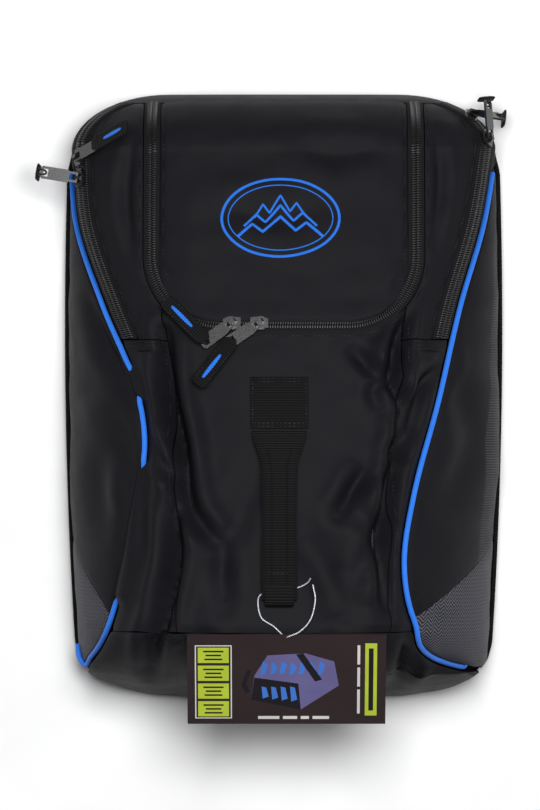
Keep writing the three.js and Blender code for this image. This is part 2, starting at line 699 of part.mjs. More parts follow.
// A slider sits on the zip at plan point (x, y). The zip's, puller's and tab's directions are plan
// angles from +X. A tab with no direction hangs straight down from the end of its puller.
function buildPull(name, pull) {
  const [x, y] = pull.at;
  const normal = skinNormal(x, y);
  const along = inPlane(pull.zip, normal);
  const seat = under(x, y, -ZIP_PROUD - SLIDER_GAP);
  const flat = inPlane(pull.puller, normal);
  const yaw = Math.atan2(normal.clone().cross(along).dot(flat), along.dot(flat));
  addPart(`${name}_slider`, sliderGeometry(yaw), metal, basis(along, normal, seat));

  const barHeight = (ARCH.floor + ARCH.roof) / 2;
  const bar = seat.clone().addScaledVector(normal, barHeight);
  const hinge = flat.clone().cross(normal);
  const lifted = (vector) => vector.clone().applyAxisAngle(hinge, radians(pull.rise));
  const pullerAlong = lifted(flat);
  const pullerUp = lifted(normal);
  addPart(`${name}_puller`, pullerGeometry(), metal, basis(pullerAlong, pullerUp, bar));

  const eye = (PULLER_EYE.from + PULLER_EYE.to) / 2;
  const standOff = PULLER.thickness / 2 + TAB.gap + TAB.thickness / 2;
  const start = bar.clone();
  let tabAlong = new THREE.Vector3(0, 0, -1);
  let tabUp = new THREE.Vector3(pullerAlong.x, pullerAlong.y, 0).normalize();
  if (pull.tab === undefined) {
    start.addScaledVector(pullerAlong, PULLER.length + standOff);
  } else {
    tabAlong = inPlane(pull.tab, pullerUp);
    tabUp = pullerUp;
    start.addScaledVector(pullerAlong, eye).addScaledVector(pullerUp, standOff);
  }
  addPart(`${name}_tab`, tabGeometry(), blue, basis(tabAlong, tabUp, start));
}

function buildPulls() {
  const onBootZip = (side, fromTop) => {
    const y = TOP_Y - fromTop;
    return [side.sign * bootZipX(side, y), y];
  };
  const lidZipY = LID_BOTTOM_Y - ZIP_WIDTH / 2;
  const pulls = {
    lid_left: { at: [-44, lidZipY], zip: 0, puller: 217, rise: 1, tab: 135 },
    lid_right: { at: [-21, lidZipY], zip: 180, puller: 214, rise: 1, tab: 232 },
    boot_left_upper: { at: onBootZip(SIDES.left, 58), zip: 90, puller: 30, rise: -4, tab: 26 },
    boot_left_lower: { at: onBootZip(SIDES.left, 76), zip: 270, puller: 168, rise: 52 },
    boot_right_lower: { at: onBootZip(SIDES.right, 42), zip: 270, puller: 106, rise: 14 },
    boot_right_upper: { at: onBootZip(SIDES.right, 23), zip: 90, puller: 345, rise: 8 },
  };
  for (const [name, pull] of Object.entries(pulls)) {
    buildPull(name, pull);
  }
}

// ---------------------------------------------------------------- carry handle
const HANDLE_X = -4;
const HANDLE_START_Y = BASE_Y + HANDLE_TOP - HANDLE_PATCH_LENGTH;
const HANDLE_END_Y = HANDLE_START_Y - HANDLE_LENGTH;

function buildHandle() {
  const half = HANDLE_WEBBING / 2;
  const patch = (a, b) => [
    HANDLE_X + lerp(-half, half, a),
    lerp(HANDLE_START_Y, HANDLE_START_Y + HANDLE_PATCH_LENGTH, b),
  ];
  addPart('handle_patch', panel(patch, 2, 3, -FIT_GAP - 2, -FIT_GAP), webbing);
  const steps = 14;
  const outer = [];
  const inner = [];
  for (let step = 0; step <= steps; step += 1) {
    const y = lerp(HANDLE_START_Y - 1, HANDLE_END_Y, step / steps);
    const arch = 4 * (step / steps) * (1 - step / steps);
    const base = skinZ(HANDLE_X, y) + HANDLE_END_LIFT + (HANDLE_LIFT - HANDLE_END_LIFT) * arch;
    const row = (z) => [-1, 1].map((s) => new THREE.Vector3(HANDLE_X + (s * HANDLE_FOLDED) / 2, y, z));
    outer.push(row(base + HANDLE_THICKNESS));
    inner.push(row(base));
  }
  addPart('handle_strap', closedGrid(outer, inner), webbing);
}

// ---------------------------------------------------------------- hang tag
function buildTag() {
  const top = BASE_SEAM_Y - 3;
  const hinge = new THREE.Vector3(HANDLE_X + 6, top, skinZ(0, BASE_SEAM_Y) + 6);
  const shape = new THREE.Shape(rectangle(-TAG.width / 2, TAG.width / 2, -TAG.height, TAG.hole));
  const hole = new THREE.Path();
  hole.absellipse(0, 0, TAG.hole / 2, TAG.hole / 2, 0, 2 * Math.PI);
  shape.holes.push(hole);
  const tilt = new THREE.Matrix4().makeRotationX(radians(TAG.tilt)).setPosition(hinge);
  addPart('tag_card', extrude(shape, TAG.thickness), card, tilt);
  const over = (x, y, lift) => new THREE.Vector3(x, y, skinZ(x, y) + lift);
  const points = [
    over(24, HANDLE_END_Y + 13, 9), over(26, HANDLE_END_Y, 9), over(22, HANDLE_END_Y - 16, 9),
    over(13, top + 5, 11), hinge.clone().add(new THREE.Vector3(2, 1, 4)), hinge,
    hinge.clone().add(new THREE.Vector3(-3, 1.5, -3.4)), over(-9, top + 9, 2.2),
    over(-19, top + 16, 3), over(-22, HANDLE_END_Y - 3, 3.4), over(-20, HANDLE_END_Y + 4, 2.6),
    over(-10, HANDLE_END_Y + 8, 2), over(10, HANDLE_END_Y + 10, 2), over(19, HANDLE_END_Y + 14, 4),
    over(22, HANDLE_END_Y + 18, 8),
  ];
  addPart('tag_loop', tube(points, TAG_LOOP_DIAMETER, 8, 50), nylon);
}

// ---------------------------------------------------------------- shoulder straps and grab loop
function buildStraps() {
  const top = TOP_Y - PAD_EDGE - STRAP_TOP_GAP;
  const padEnd = top - STRAP_PAD.length;
  const middle = (CHANNEL.inner + CHANNEL.outer) / 2;
  for (const [name, sign] of [['left', -1], ['right', 1]]) {
    const x = sign * middle;
    const half = STRAP_PAD.width / 2;
    const pad = new THREE.Shape();
    pad.moveTo(x - half, top);
    pad.lineTo(x - half, padEnd + half);
    pad.lineTo(x - half * 0.5, padEnd);
    pad.lineTo(x + half * 0.5, padEnd);
    pad.lineTo(x + half, padEnd + half);
    pad.lineTo(x + half, top);
    addPart(`strap_pad_${name}`, extrude(pad, STRAP_PAD.thickness, STRAP_LIFT), lining);

    const lockTop = padEnd - FIT_GAP;
    const lockEnd = lockTop - LADDER_LOCK.length;
    const reach = LADDER_LOCK.width / 2;
    const frame = new THREE.Shape(rectangle(x - reach, x + reach, lockEnd, lockTop));
    const gap = (LADDER_LOCK.length - 3 * LADDER_LOCK.bar) / 2;
    for (const row of [0, 1]) {
      const low = lockEnd + LADDER_LOCK.bar + row * (gap + LADDER_LOCK.bar);
      const inner = reach - LADDER_LOCK.side;
      frame.holes.push(new THREE.Path(rectangle(x - inner, x + inner, low, low + gap)));
    }
    const lockFloor = STRAP_LIFT + STRAP_WEBBING.thickness + FIT_GAP;
    addPart(`ladder_lock_${name}`, extrude(frame, LADDER_LOCK.thickness, lockFloor), plastic);

    const slack = STRAP_WEBBING.width / 2;
    const tailEnd = BASE_Y + PAD_EDGE + CHANNEL.base + STRAP_WEBBING.room;
    const tail = new THREE.Shape(rectangle(x - slack, x + slack, tailEnd, lockEnd - FIT_GAP));
    addPart(`strap_webbing_${name}`, extrude(tail, STRAP_WEBBING.thickness, STRAP_LIFT), webbing);
  }
}

function buildGrabLoop() {
  const top = TOP_Y - PAD_EDGE - GRAB.top;
  const half = GRAB.width / 2;
  const loop = new THREE.Shape();
  loop.moveTo(-half, top);
  loop.lineTo(-half, top - GRAB.length * 0.6);
  loop.lineTo(-half * 0.6, top - GRAB.length);
  loop.lineTo(half * 0.6, top - GRAB.length);
  loop.lineTo(half, top - GRAB.length * 0.6);
  loop.lineTo(half, top);
  loop.lineTo(half - GRAB.webbing, top);
  loop.lineTo(half - GRAB.webbing, top - GRAB.length * 0.55);
  loop.lineTo(half * 0.3, top - GRAB.length + GRAB.webbing);
  loop.lineTo(-half * 0.3, top - GRAB.length + GRAB.webbing);
  loop.lineTo(GRAB.webbing - half, top - GRAB.length * 0.55);
  loop.lineTo(GRAB.webbing - half, top);
  const floor = PAD_THICKNESS - GRAB.thickness - GRAB.depth;
  addPart('grab_loop', extrude(loop, GRAB.thickness, floor), webbing);
}

// ---------------------------------------------------------------- the bag
buildBack();
buildDividers();
buildBaseBoard();
buildBase();
buildFront();
buildTopPanel();
buildLid();
for (const [name, side] of Object.entries(SIDES)) {
  buildSideOfFront(name, side);
  buildBootZip(name, side);
  buildSide(name, side);
  buildPiping(name, side);
}
buildPulls();
buildHandle();
buildTag();
buildStraps();
buildGrabLoop();

export default bag;
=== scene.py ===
"""Boot and gear backpack, lying on its back: the soft shell, zips, trims, straps and hang card."""

import math

import bpy
import numpy as np
from mathutils import Matrix, Vector


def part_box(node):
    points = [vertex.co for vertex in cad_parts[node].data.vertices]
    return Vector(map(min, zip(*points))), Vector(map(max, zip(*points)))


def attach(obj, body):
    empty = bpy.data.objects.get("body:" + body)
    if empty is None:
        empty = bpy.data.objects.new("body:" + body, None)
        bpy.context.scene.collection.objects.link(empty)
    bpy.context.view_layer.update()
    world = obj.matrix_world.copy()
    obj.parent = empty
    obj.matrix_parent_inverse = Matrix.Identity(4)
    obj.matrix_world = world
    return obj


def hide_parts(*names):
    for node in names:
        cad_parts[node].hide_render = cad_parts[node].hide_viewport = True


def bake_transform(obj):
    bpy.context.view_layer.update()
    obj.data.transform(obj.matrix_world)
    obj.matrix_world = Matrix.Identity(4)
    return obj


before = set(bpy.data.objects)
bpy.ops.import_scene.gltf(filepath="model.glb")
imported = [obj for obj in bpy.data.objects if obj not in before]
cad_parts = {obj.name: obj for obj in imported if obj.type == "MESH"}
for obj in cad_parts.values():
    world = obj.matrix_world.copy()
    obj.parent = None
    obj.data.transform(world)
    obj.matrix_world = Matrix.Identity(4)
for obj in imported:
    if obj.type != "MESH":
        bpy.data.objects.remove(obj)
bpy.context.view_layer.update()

bl_info = {
    "name": "Boot and gear backpack",
    "version": (1, 0, 0),
    "blender": (4, 5, 0),
    "location": "3D View > Sidebar > Backpack",
    "description": "Builds the fabric shell, zips, piping, straps and hang card of a boot backpack",
    "category": "Object",
}

MM = 0.001


# ---------------------------------------------------------------- numbers
def lerp(a, b, t):
    return a + (b - a) * t


def share_of(value, low, high):
    return np.clip((value - low) / (high - low), 0.0, 1.0)


def smooth(value, low, high):
    t = share_of(value, low, high)
    return t * t * (3 - 2 * t)


def hump(value, low, high, soft):
    """1 between low and high, falling smoothly to 0 over a soft distance outside them."""
    return smooth(value, low - soft, low) * (1 - smooth(value, high, high + soft))


def unit(v):
    v = np.asarray(v, float)
    return v / np.maximum(np.linalg.norm(v, axis=-1, keepdims=True), 1e-9)


def in_mm(node):
    """A CAD node's lowest and highest corners, in millimetres."""
    low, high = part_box(node)
    return np.array(low) / MM, np.array(high) / MM


def linear(code):
    """An sRGB colour such as 1c1c20, as linear red, green and blue."""
    parts = [int(code[at : at + 2], 16) / 255 for at in (0, 2, 4)]
    return [p / 12.92 if p <= 0.04045 else ((p + 0.055) / 1.055) ** 2.4 for p in parts]


# ---------------------------------------------------------------- sizes of the frame
TOP_Y = in_mm("top_panel")[1][1]
BASE_Y = in_mm("base_panel")[0][1]
RIM_Z = in_mm("base_panel")[0][2]
HALF_WIDTH = 187.0
BASE_DEPTH, TOP_DEPTH, CROWN_BOW = 205.0, 122.0, 8.0
BASE_TAPER = 12.0
TOP_CORNER = (85.0, 50.0)
BASE_CORNER = (90.0, 35.0)
BASE_PANEL, TOP_ROLL, TOP_PANEL = 62.0, 55.0, 9.0
SEAM_GAP = 0.4
REACH = {-1: 68.0, 1: 81.0}
TIP_TOP, TIP_BASE, SIDE_RISE = TOP_Y - 46, BASE_Y + 22, 0.86
PIPING_DIAMETER = 4.6
PIPING_GAP = PIPING_DIAMETER / 2 + 0.3
ZIP_WIDTH = 14.0
BOOT_ZIP_INSET = PIPING_GAP + 0.4 + ZIP_WIDTH / 2
LID_HALF, LID_CORNER = 106.0, 52.0
BASE_SEAM_Y = BASE_Y + BASE_PANEL
TOP_SEAM_Y = TOP_Y - TOP_PANEL
FLAP_Y = BASE_Y + 309
FLAP_END_Y = TOP_Y - 70
LID_BOTTOM_Y = BASE_Y + 329
WIDEST_Y = BASE_Y + 322
LID_ARC_X = LID_HALF - LID_CORNER
LID_ARC_Y = LID_BOTTOM_Y + LID_CORNER
SIDES = {"left": -1, "right": 1}
PAD_EDGE = 18.0  # from the back's outline in to the padding
CHANNEL_BASE = 36.0  # from the padding's base edge up to the strap channels
GRAB_LENGTH = 46.0


def through(points):
    """A smooth curve through points whose places run from 0 to 1, as the CAD source has it."""
    at, to = np.array(points, float).T
    last = len(at) - 1
    fine = np.linspace(0, 1, 1201)
    made = []
    for place in fine:
        high = min(max(int(np.searchsorted(at, place, side="right")), 1), last)
        low = high - 1
        span = at[high] - at[low]
        before, back = (high, -0.5) if low == 0 else (low - 1, span / 2 / (at[low] - at[low - 1]))
        after, fore = (low, -0.5) if high == last else (high + 1, span / 2 / (at[high + 1] - at[high]))
        p = (place - at[low]) / span
        made.append(
            (-back * p**3 + 2 * back * p**2 - back * p) * to[before]
            + ((1 + back) * p**3 - (1.5 + 2 * back) * p**2 + (back - 0.5) * p + 1) * to[low]
            + (-(1 + fore) * p**3 + (1.5 + fore) * p**2 + 0.5 * p) * to[high]
            + (fore * p**3 - fore * p**2) * to[after]
        )
    made = np.maximum(made, 0)
    return lambda share: np.interp(share, fine, made)


BOW = {
    -1: through(
        [(0, 0), (0.066, 0.35), (0.208, 0.69), (0.318, 0.85), (0.43, 1)]
        + [(0.537, 0.91), (0.697, 0.47), (0.853, 0.1), (1, 0)]
    ),
    1: through(
        [(0, 0), (0.029, 0.57), (0.105, 0.86), (0.208, 1), (0.338, 0.93)]
        + [(0.515, 0.685), (0.697, 0.444), (0.853, 0.17), (1, 0)]
    ),
}


# ---------------------------------------------------------------- the skin
def corner_inset(y):
    top = share_of(y, TOP_Y - TOP_CORNER[1], TOP_Y)
    base = share_of(-y, -BASE_Y - BASE_CORNER[1], -BASE_Y)
    return TOP_CORNER[0] * (1 - np.sqrt(1 - top**2)) + BASE_CORNER[0] * (1 - np.sqrt(1 - base**2))


def rim_x(y):
    along = (y - WIDEST_Y) / (WIDEST_Y - BASE_Y)
    return HALF_WIDTH - BASE_TAPER * along**2 - corner_inset(y)


def side_share(sign, y):
    share = share_of(y, TIP_BASE, TIP_TOP)
    return np.where(sign < 0, BOW[-1](share), BOW[1](share))


def piping_x(sign, y):
    return rim_x(y) - np.where(np.asarray(sign) < 0, REACH[-1], REACH[1]) * side_share(sign, y)


def beside_piping(sign, y, inward):
    slope = piping_x(sign, y + 0.5) - piping_x(sign, y - 0.5)
    return piping_x(sign, y) - inward * PIPING_GAP * np.sqrt(1 + np.minimum(slope**2, 9))


def roll(share, power):
    return (1 - np.clip(share, 0, 1) ** power) ** (1 / power)


def crown_z(y):
    along = share_of(y, BASE_SEAM_Y, TOP_Y - TOP_ROLL)
    height = lerp(BASE_DEPTH, TOP_DEPTH, along) + CROWN_BOW * 4 * along * (1 - along)
    ends = roll((BASE_SEAM_Y - y) / BASE_PANEL, 1.5) * roll((y - TOP_Y + TOP_ROLL) / TOP_ROLL, 2)
    return RIM_Z + (height - RIM_Z) * ends


def skin_z(x, y):
    sign = np.where(x < 0, -1, 1)
    rim, seam = rim_x(y), piping_x(sign, y)
    share, crown = side_share(sign, y), crown_z(y)
    out = np.minimum(np.abs(x), rim)
    piping_z = RIM_Z + (crown - RIM_Z) * SIDE_RISE * share**0.45
    turn = math.radians(65)
    inward = np.clip((rim - out) / np.maximum(rim - seam, 1e-6), 0, 1)
    angle = np.arccos(1 - inward * (1 - math.cos(turn)))
    side = RIM_Z + (piping_z - RIM_Z) * np.sin(angle) / math.sin(turn)
    across = np.clip(out / seam, 0, 1)
    front = piping_z + (crown - piping_z) * lerp(roll(across, 3.5), 1 - across**3, share)
    return np.where(out > seam, side, front)


def skin_normal(x, y):
    step = 0.8
    y = np.clip(y, BASE_Y + 2 * step, TOP_Y - 2 * step)
    limit = rim_x(y) - 2 * step
    x = np.clip(x, -limit, limit)
    slope_x = (skin_z(x + step, y) - skin_z(x - step, y)) / (2 * step)
    slope_y = (skin_z(x, y + step) - skin_z(x, y - step)) / (2 * step)
    return unit(np.stack([-slope_x, -slope_y, np.ones_like(slope_x)], -1))


def on_skin(x, y, lift=0.0):
    """The point that stands lift off the skin, over the plan point (x, y)."""
    x, y = np.broadcast_arrays(np.asarray(x, float), np.asarray(y, float))
    points = np.stack([x, y, skin_z(x, y)], -1) + skin_normal(x, y) * np.asarray(lift)[..., None]
    points[..., 2] = np.maximum(points[..., 2], RIM_Z)
    return points


# ---------------------------------------------------------------- seam lines, seen from above
def centre_seam_x(y):
    return lerp(89.0, 104.0, share_of(y, BASE_SEAM_Y, LID_BOTTOM_Y) ** 2)


def boot_zip_x(sign, y):
    return piping_x(sign, y) - BOOT_ZIP_INSET


LID_STRAIGHT = TOP_SEAM_Y - SEAM_GAP - LID_ARC_Y
LID_ARC = math.pi / 2 * LID_CORNER
LID_RUN = LID_STRAIGHT + LID_ARC + LID_ARC_X


def lid_edge(share, outside):
    """The lid's outline at a distance outside its edge, from the top left (0) to the top right (1)."""
    share, outside = np.broadcast_arrays(np.asarray(share, float), np.asarray(outside, float))
    left = share <= 0.5
    run = np.where(left, share, 1 - share) * 2 * LID_RUN
    radius = LID_CORNER + outside
    turn = np.clip((run - LID_STRAIGHT) / LID_CORNER, 0, math.pi / 2)
    x = LID_ARC_X + radius * np.cos(turn)
    y = LID_ARC_Y - radius * np.sin(turn)
    x = np.where(run > LID_STRAIGHT + LID_ARC, LID_ARC_X - (run - LID_STRAIGHT - LID_ARC), x)
    y = np.where(run < LID_STRAIGHT, TOP_SEAM_Y - SEAM_GAP - run, y)
    return np.where(left, -x, x), y


def lid_share_at_arc(degrees):
    return (LID_STRAIGHT + math.radians(degrees) * LID_CORNER) / (2 * LID_RUN)


def coons(bottom, top, left, right):
    """Fills the area between four edges, each given as a function from 0 to 1."""
    c00, c10, c01, c11 = bottom(0.0), bottom(1.0), top(0.0), top(1.0)

    def place(a, b):
        low, high, west, east = bottom(a), top(a), left(b), right(b)
        return tuple(
            lerp(low[k], high[k], b)
            + lerp(west[k], east[k], a)
            - lerp(lerp(c00[k], c10[k], a), lerp(c01[k], c11[k], a), b)
            for k in (0, 1)
        )

    return place


# ---------------------------------------------------------------- folds in the cloth
# Each crease is a line seen from above, its depth and its half width, and how high the cloth
# stands beside it. Lines are this bag's own slack folds.
CREASES = [
    ([(-101, 54), (-99, 15), (-95, -10), (-88, -42), (-83, -76), (-76, -101), (-59, -122)], 6.5, 8, 0.5),
    ([(-108, -40), (-100, -60), (-92, -76)], 3.0, 6, 0.5),
    (
        [(-91, -88), (-92, -118), (-94, -145), (-100, -173), (-104, -192), (-110, -207), (-113, -231)],
        6.0, 8, 0.5,
    ),  # fmt: skip
    ([(-165, 81), (-150, 45), (-138, 20), (-126, -6)], 3.0, 9, 0.2),
    ([(105, 94), (103, 81), (100, 61), (93.5, 29), (91, 13), (98, -8), (96, -27), (95, -49)], 5.0, 7, 0.5),
    ([(95, -49), (91, -69), (87.5, -95), (83, -115), (84, -148), (85, -178)], 6.0, 8, 0.5),
    ([(136, 25), (117, 5), (107, -30), (96, -49)], 5.0, 8, 0.5),
    ([(59, 38), (79, 15), (76.5, 2.5), (83, -13)], 3.0, 7, 0.4),
    ([(46, -101), (58, -80), (71, -62)], 3.5, 8, 0.4),
    ([(66, -150), (72, -120), (64, -96)], 3.0, 9, 0.4),
    ([(-44, -110), (-52, -140), (-50, -176)], 2.5, 10, 0.4),
    ([(-60, 150), (-40, 156), (-5, 150), (30, 158)], 1.2, 12, 0.5),
    ([(10, 216), (45, 205), (85, 214)], 1.2, 12, 0.5),
    ([(-150, -40), (-158, -80), (-150, -110)], 2.0, 14, 0.4),
    ([(150, 10), (162, -40), (140, -90)], 2.0, 14, 0.4),
    ([(-128, 215), (-135, 170), (-127, 120)], 2.0, 8, 0.4),
    ([(128, 225), (133, 180), (124, 130)], 2.0, 8, 0.4),
    ([(14, -118), (34, -150), (48, -186)], 2.6, 17, 0.2),
    ([(-20, -60), (-34, -96), (-30, -130)], 1.2, 14, 0.4),
    ([(-140, -20), (-128, -70), (-122, -130)], 2.2, 11, 0.5),
    ([(-70, -206), (-62, -228), (-66, -250)], 3.0, 9, 0.4),
    ([(40, -208), (52, -232), (48, -252)], 3.0, 9, 0.4),
    ([(108, -206), (104, -228), (96, -244)], 3.5, 8, 0.4),
]
FOLD_DEPTH, FOLD_WIDTH = 2.8, 0.85  # shares of the depths and half widths above
RELIEF_STEP = 1.5
RELIEF_X = np.arange(-195, 195.01, RELIEF_STEP)
RELIEF_Y = np.arange(-267, 267.01, RELIEF_STEP)


def sampled(table, x, y):
    """A table over the plan, read between its grid points."""
    i = np.clip((np.asarray(x) - RELIEF_X[0]) / RELIEF_STEP, 0, len(RELIEF_X) - 1.001)
    j = np.clip((np.asarray(y) - RELIEF_Y[0]) / RELIEF_STEP, 0, len(RELIEF_Y) - 1.001)
    i0, j0 = i.astype(int), j.astype(int)
    u, v = i - i0, j - j0
    low = lerp(table[j0, i0], table[j0, i0 + 1], u)
    return lerp(low, lerp(table[j0 + 1, i0], table[j0 + 1, i0 + 1], u), v)


def along_line(points, spacing):
    """A smooth line through a few points, as evenly spaced points."""
    points = np.array(points, float)
    ends = np.vstack([2 * points[0] - points[1], points, 2 * points[-1] - points[-2]])
    found = []
    for k in range(len(points) - 1):
        a, b, c, d = ends[k : k + 4]
        for t in np.linspace(0, 1, 16, endpoint=False):
            bend, twist = 2 * a - 5 * b + 4 * c - d, 3 * b - a - 3 * c + d
            found.append(0.5 * (2 * b + (c - a) * t + bend * t**2 + twist * t**3))
    found = np.array(found + [points[-1]])
    run = np.concatenate([[0], np.cumsum(np.linalg.norm(np.diff(found, axis=0), axis=1))])
    even = np.linspace(0, run[-1], max(2, round(run[-1] / spacing) + 1))
    return np.stack([np.interp(even, run, found[:, k]) for k in range(found.shape[1])], 1)


def crease_relief(x, y):
    """How far the cloth stands off the skin at plan points, from its slack folds alone."""
    total = np.zeros_like(x)
    for line, depth, width, beside in CREASES:
        width *= FOLD_WIDTH
        path = along_line(line, 4)
        near = np.full(x.shape, 1e9)
        place = np.zeros(x.shape)
        for at, (px, py) in enumerate(path):
            gap = np.hypot(x - px, y - py)
            closer = gap < near
            near = np.where(closer, gap, near)
            place = np.where(closer, at / (len(path) - 1), place)
        fade = np.sin(np.pi * np.clip(0.06 + 0.9 * place, 0, 1)) ** 0.6
        total -= depth * fade * np.exp(-((near / width) ** 2))
        total += depth * beside * fade * np.exp(-(((near - 2.1 * width) / (1.2 * width)) ** 2))
    return total


def slow_waves(x, y, size, seed):
    """A gentle, seeded unevenness about 1 high."""
    pick = np.random.default_rng(seed)
    total = np.zeros_like(x)
    for _ in range(9):
        turn, phase = pick.uniform(0, 2 * math.pi, 2)
        wave = 2 * math.pi / (size * pick.uniform(0.7, 1.6))
        total += np.sin(wave * (x * math.cos(turn) + y * math.sin(turn)) + phase)
    return total / 4.2


def keep_flat(x, y):
    """0 under zips and the handle's sewn end, where the cloth is held flat, and 1 away from them."""
    free = np.ones_like(x)
    inside = np.maximum(np.abs(x) - LID_ARC_X, 0)
    below = np.maximum(LID_ARC_Y - y, 0)
    lid = np.where(y < LID_ARC_Y, np.hypot(inside, below) - LID_CORNER, np.abs(x) - LID_HALF)
    lid = np.where((np.abs(x) < LID_ARC_X) & (y < LID_ARC_Y), LID_BOTTOM_Y - y, lid)
    free *= smooth(np.abs(lid - ZIP_WIDTH / 2), 7, 22)
    boot = np.abs(np.abs(x) - boot_zip_x(np.sign(x), y))
    free *= np.where(y > FLAP_Y - 10, smooth(boot, 8, 24), 1)
    beside = np.abs(np.abs(x) - piping_x(np.sign(x), np.clip(y, TIP_BASE, TIP_TOP)))
    free *= smooth(beside, 1, 15)
    free *= 1 - hump(x, -30, 22, 10) * hump(y, -30, 17, 12)
    free *= 1 - hump(y, TOP_SEAM_Y - 8, 400, 14)
    return free


GRID_X, GRID_Y = np.meshgrid(RELIEF_X, RELIEF_Y)
FREE = keep_flat(GRID_X, GRID_Y)
RELIEF = FOLD_DEPTH * crease_relief(GRID_X, GRID_Y) * FREE
RELIEF += (0.9 * slow_waves(GRID_X, GRID_Y, 95, 3) + 0.35 * slow_waves(GRID_X, GRID_Y, 34, 5)) * FREE


def run_tables():
    """How far the cloth runs across and along from the middle, so that a weave keeps its size."""
    z = skin_z(np.clip(GRID_X, -186, 186), np.clip(GRID_Y, BASE_Y, TOP_Y))
    across = np.sqrt(1 + np.clip(np.gradient(z, RELIEF_STEP, axis=1), -5, 5) ** 2) * RELIEF_STEP
    along = np.sqrt(1 + np.clip(np.gradient(z, RELIEF_STEP, axis=0), -5, 5) ** 2) * RELIEF_STEP
    across, along = np.cumsum(across, 1), np.cumsum(along, 0)
    middle = len(RELIEF_X) // 2, len(RELIEF_Y) // 2
    return across - across[:, middle[0], None], along - along[None, middle[1]]


RUN_X, RUN_Y = run_tables()


def cloth_place(x, y):
    """Where a plan point lies on the flat cloth, in metres."""
    return np.stack([sampled(RUN_X, x, y), sampled(RUN_Y, x, y)], -1) * MM


# ---------------------------------------------------------------- meshes
class Shape:
    """A mesh in the making, in millimetres: points, faces, and each face's material."""

    def __init__(self):
        self.points, self.places, self.faces, self.slots = [], [], [], []
        self.count = 0

    def add(self, points, places, faces, slot=0):
        points = np.asarray(points, float).reshape(-1, 3)
        self.points.append(points)
        self.places.append(np.asarray(places, float).reshape(-1, 2))
        self.faces.extend([[self.count + int(k) for k in face] for face in faces])
        self.slots.extend([slot] * len(faces))
        self.count += len(points)

    def grid(self, points, places, slot=0, around=False, caps=True, flip=False):
        """A grid of points as quads. around joins its last column to its first, with both ends closed."""
        rows, columns = points.shape[:2]
        at = np.arange(rows * columns).reshape(rows, columns)
        right = np.roll(at, -1, 1)[:, : columns if around else columns - 1]
        left = at[:, : right.shape[1]]
        quads = np.stack([left[:-1], right[:-1], right[1:], left[1:]], -1).reshape(-1, 4).tolist()
        if around and caps:
            quads += [at[0][::-1].tolist(), at[-1].tolist()]
        if flip:
            quads = [face[::-1] for face in quads]
        self.add(points, places, quads, slot)

    def sheet(self, outer, inner, places, slot=0, slot_of=None):
        """Two layers of a cloth, closed along their edges."""
        rows, columns = outer.shape[:2]
        at = np.arange(rows * columns).reshape(rows, columns)
        below = at + rows * columns
        top = np.stack([at[:-1, :-1], at[:-1, 1:], at[1:, 1:], at[1:, :-1]], -1).reshape(-1, 4)
        under = np.stack([below[:-1, :-1], below[1:, :-1], below[1:, 1:], below[:-1, 1:]], -1).reshape(-1, 4)
        edge = np.concatenate([at[0], at[1:, -1], at[-1, -2::-1], at[-2:0:-1, 0]])
        edge_below = edge + rows * columns
        rim = np.stack([np.roll(edge, -1), edge, edge_below, np.roll(edge_below, -1)], -1)
        start = len(self.slots)
        self.add(
            np.concatenate([outer.reshape(-1, 3), inner.reshape(-1, 3)]),
            np.concatenate([places.reshape(-1, 2)] * 2),
            np.concatenate([top, under, rim]).tolist(),
            slot,
        )
        if slot_of is not None:
            picked = slot_of.reshape(-1)
            self.slots[start : start + len(top)] = picked.tolist()
            self.slots[start + len(top) : start + 2 * len(top)] = picked.tolist()

    def made(self, name, materials, smooth_angle=42):
        points = np.concatenate(self.points) * MM
        places = np.concatenate(self.places)
        me = bpy.data.meshes.new(name)
        me.from_pydata(points.tolist(), [], self.faces)
        for material in materials:
            me.materials.append(material)
        me.polygons.foreach_set("material_index", self.slots)
        corners = np.zeros(len(me.loops), np.int32)
        me.loops.foreach_get("vertex_index", corners)
        layer = me.uv_layers.new(name="cloth")
        layer.data.foreach_set("uv", places[corners].astype(np.float32).ravel())
        me.shade_smooth()
        me.set_sharp_from_angle(angle=math.radians(smooth_angle))
        me.validate()
        piece = bpy.data.objects.new(name, me)
        bpy.context.collection.objects.link(piece)
        return piece


def settle(piece, body, nodes=()):
    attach(piece, body)
    finish_piece(nodes)
    return piece


def settle_between(piece, nodes=()):
    """A piece that spans two bodies along Y: its transform is baked into its mesh and it is attached to
    neither.
    """
    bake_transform(piece)
    finish_piece(nodes)
    return piece


def dress(name, finish, bevel=None, segments=2):
    """Gives a CAD node its finish, and rounds its sharp edges by a bevel in millimetres."""
    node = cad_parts[name]
    node.data.materials.clear()
    node.data.materials.append(MATERIALS[finish])
    if bevel:
        soft = node.modifiers.new("edges", "BEVEL")
        soft.width, soft.segments, soft.limit_method = bevel * MM, segments, "ANGLE"


def finish_piece(nodes):
    if nodes:
        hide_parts(*nodes)


def frames_along(points, up):
    """Directions along, across and off a line of points."""
    points = np.asarray(points, float)
    tangent = unit(np.gradient(points, axis=0))
    up = np.broadcast_to(np.asarray(up, float), points.shape)
    side = unit(np.cross(tangent, up))
    return tangent, side, unit(np.cross(side, tangent))


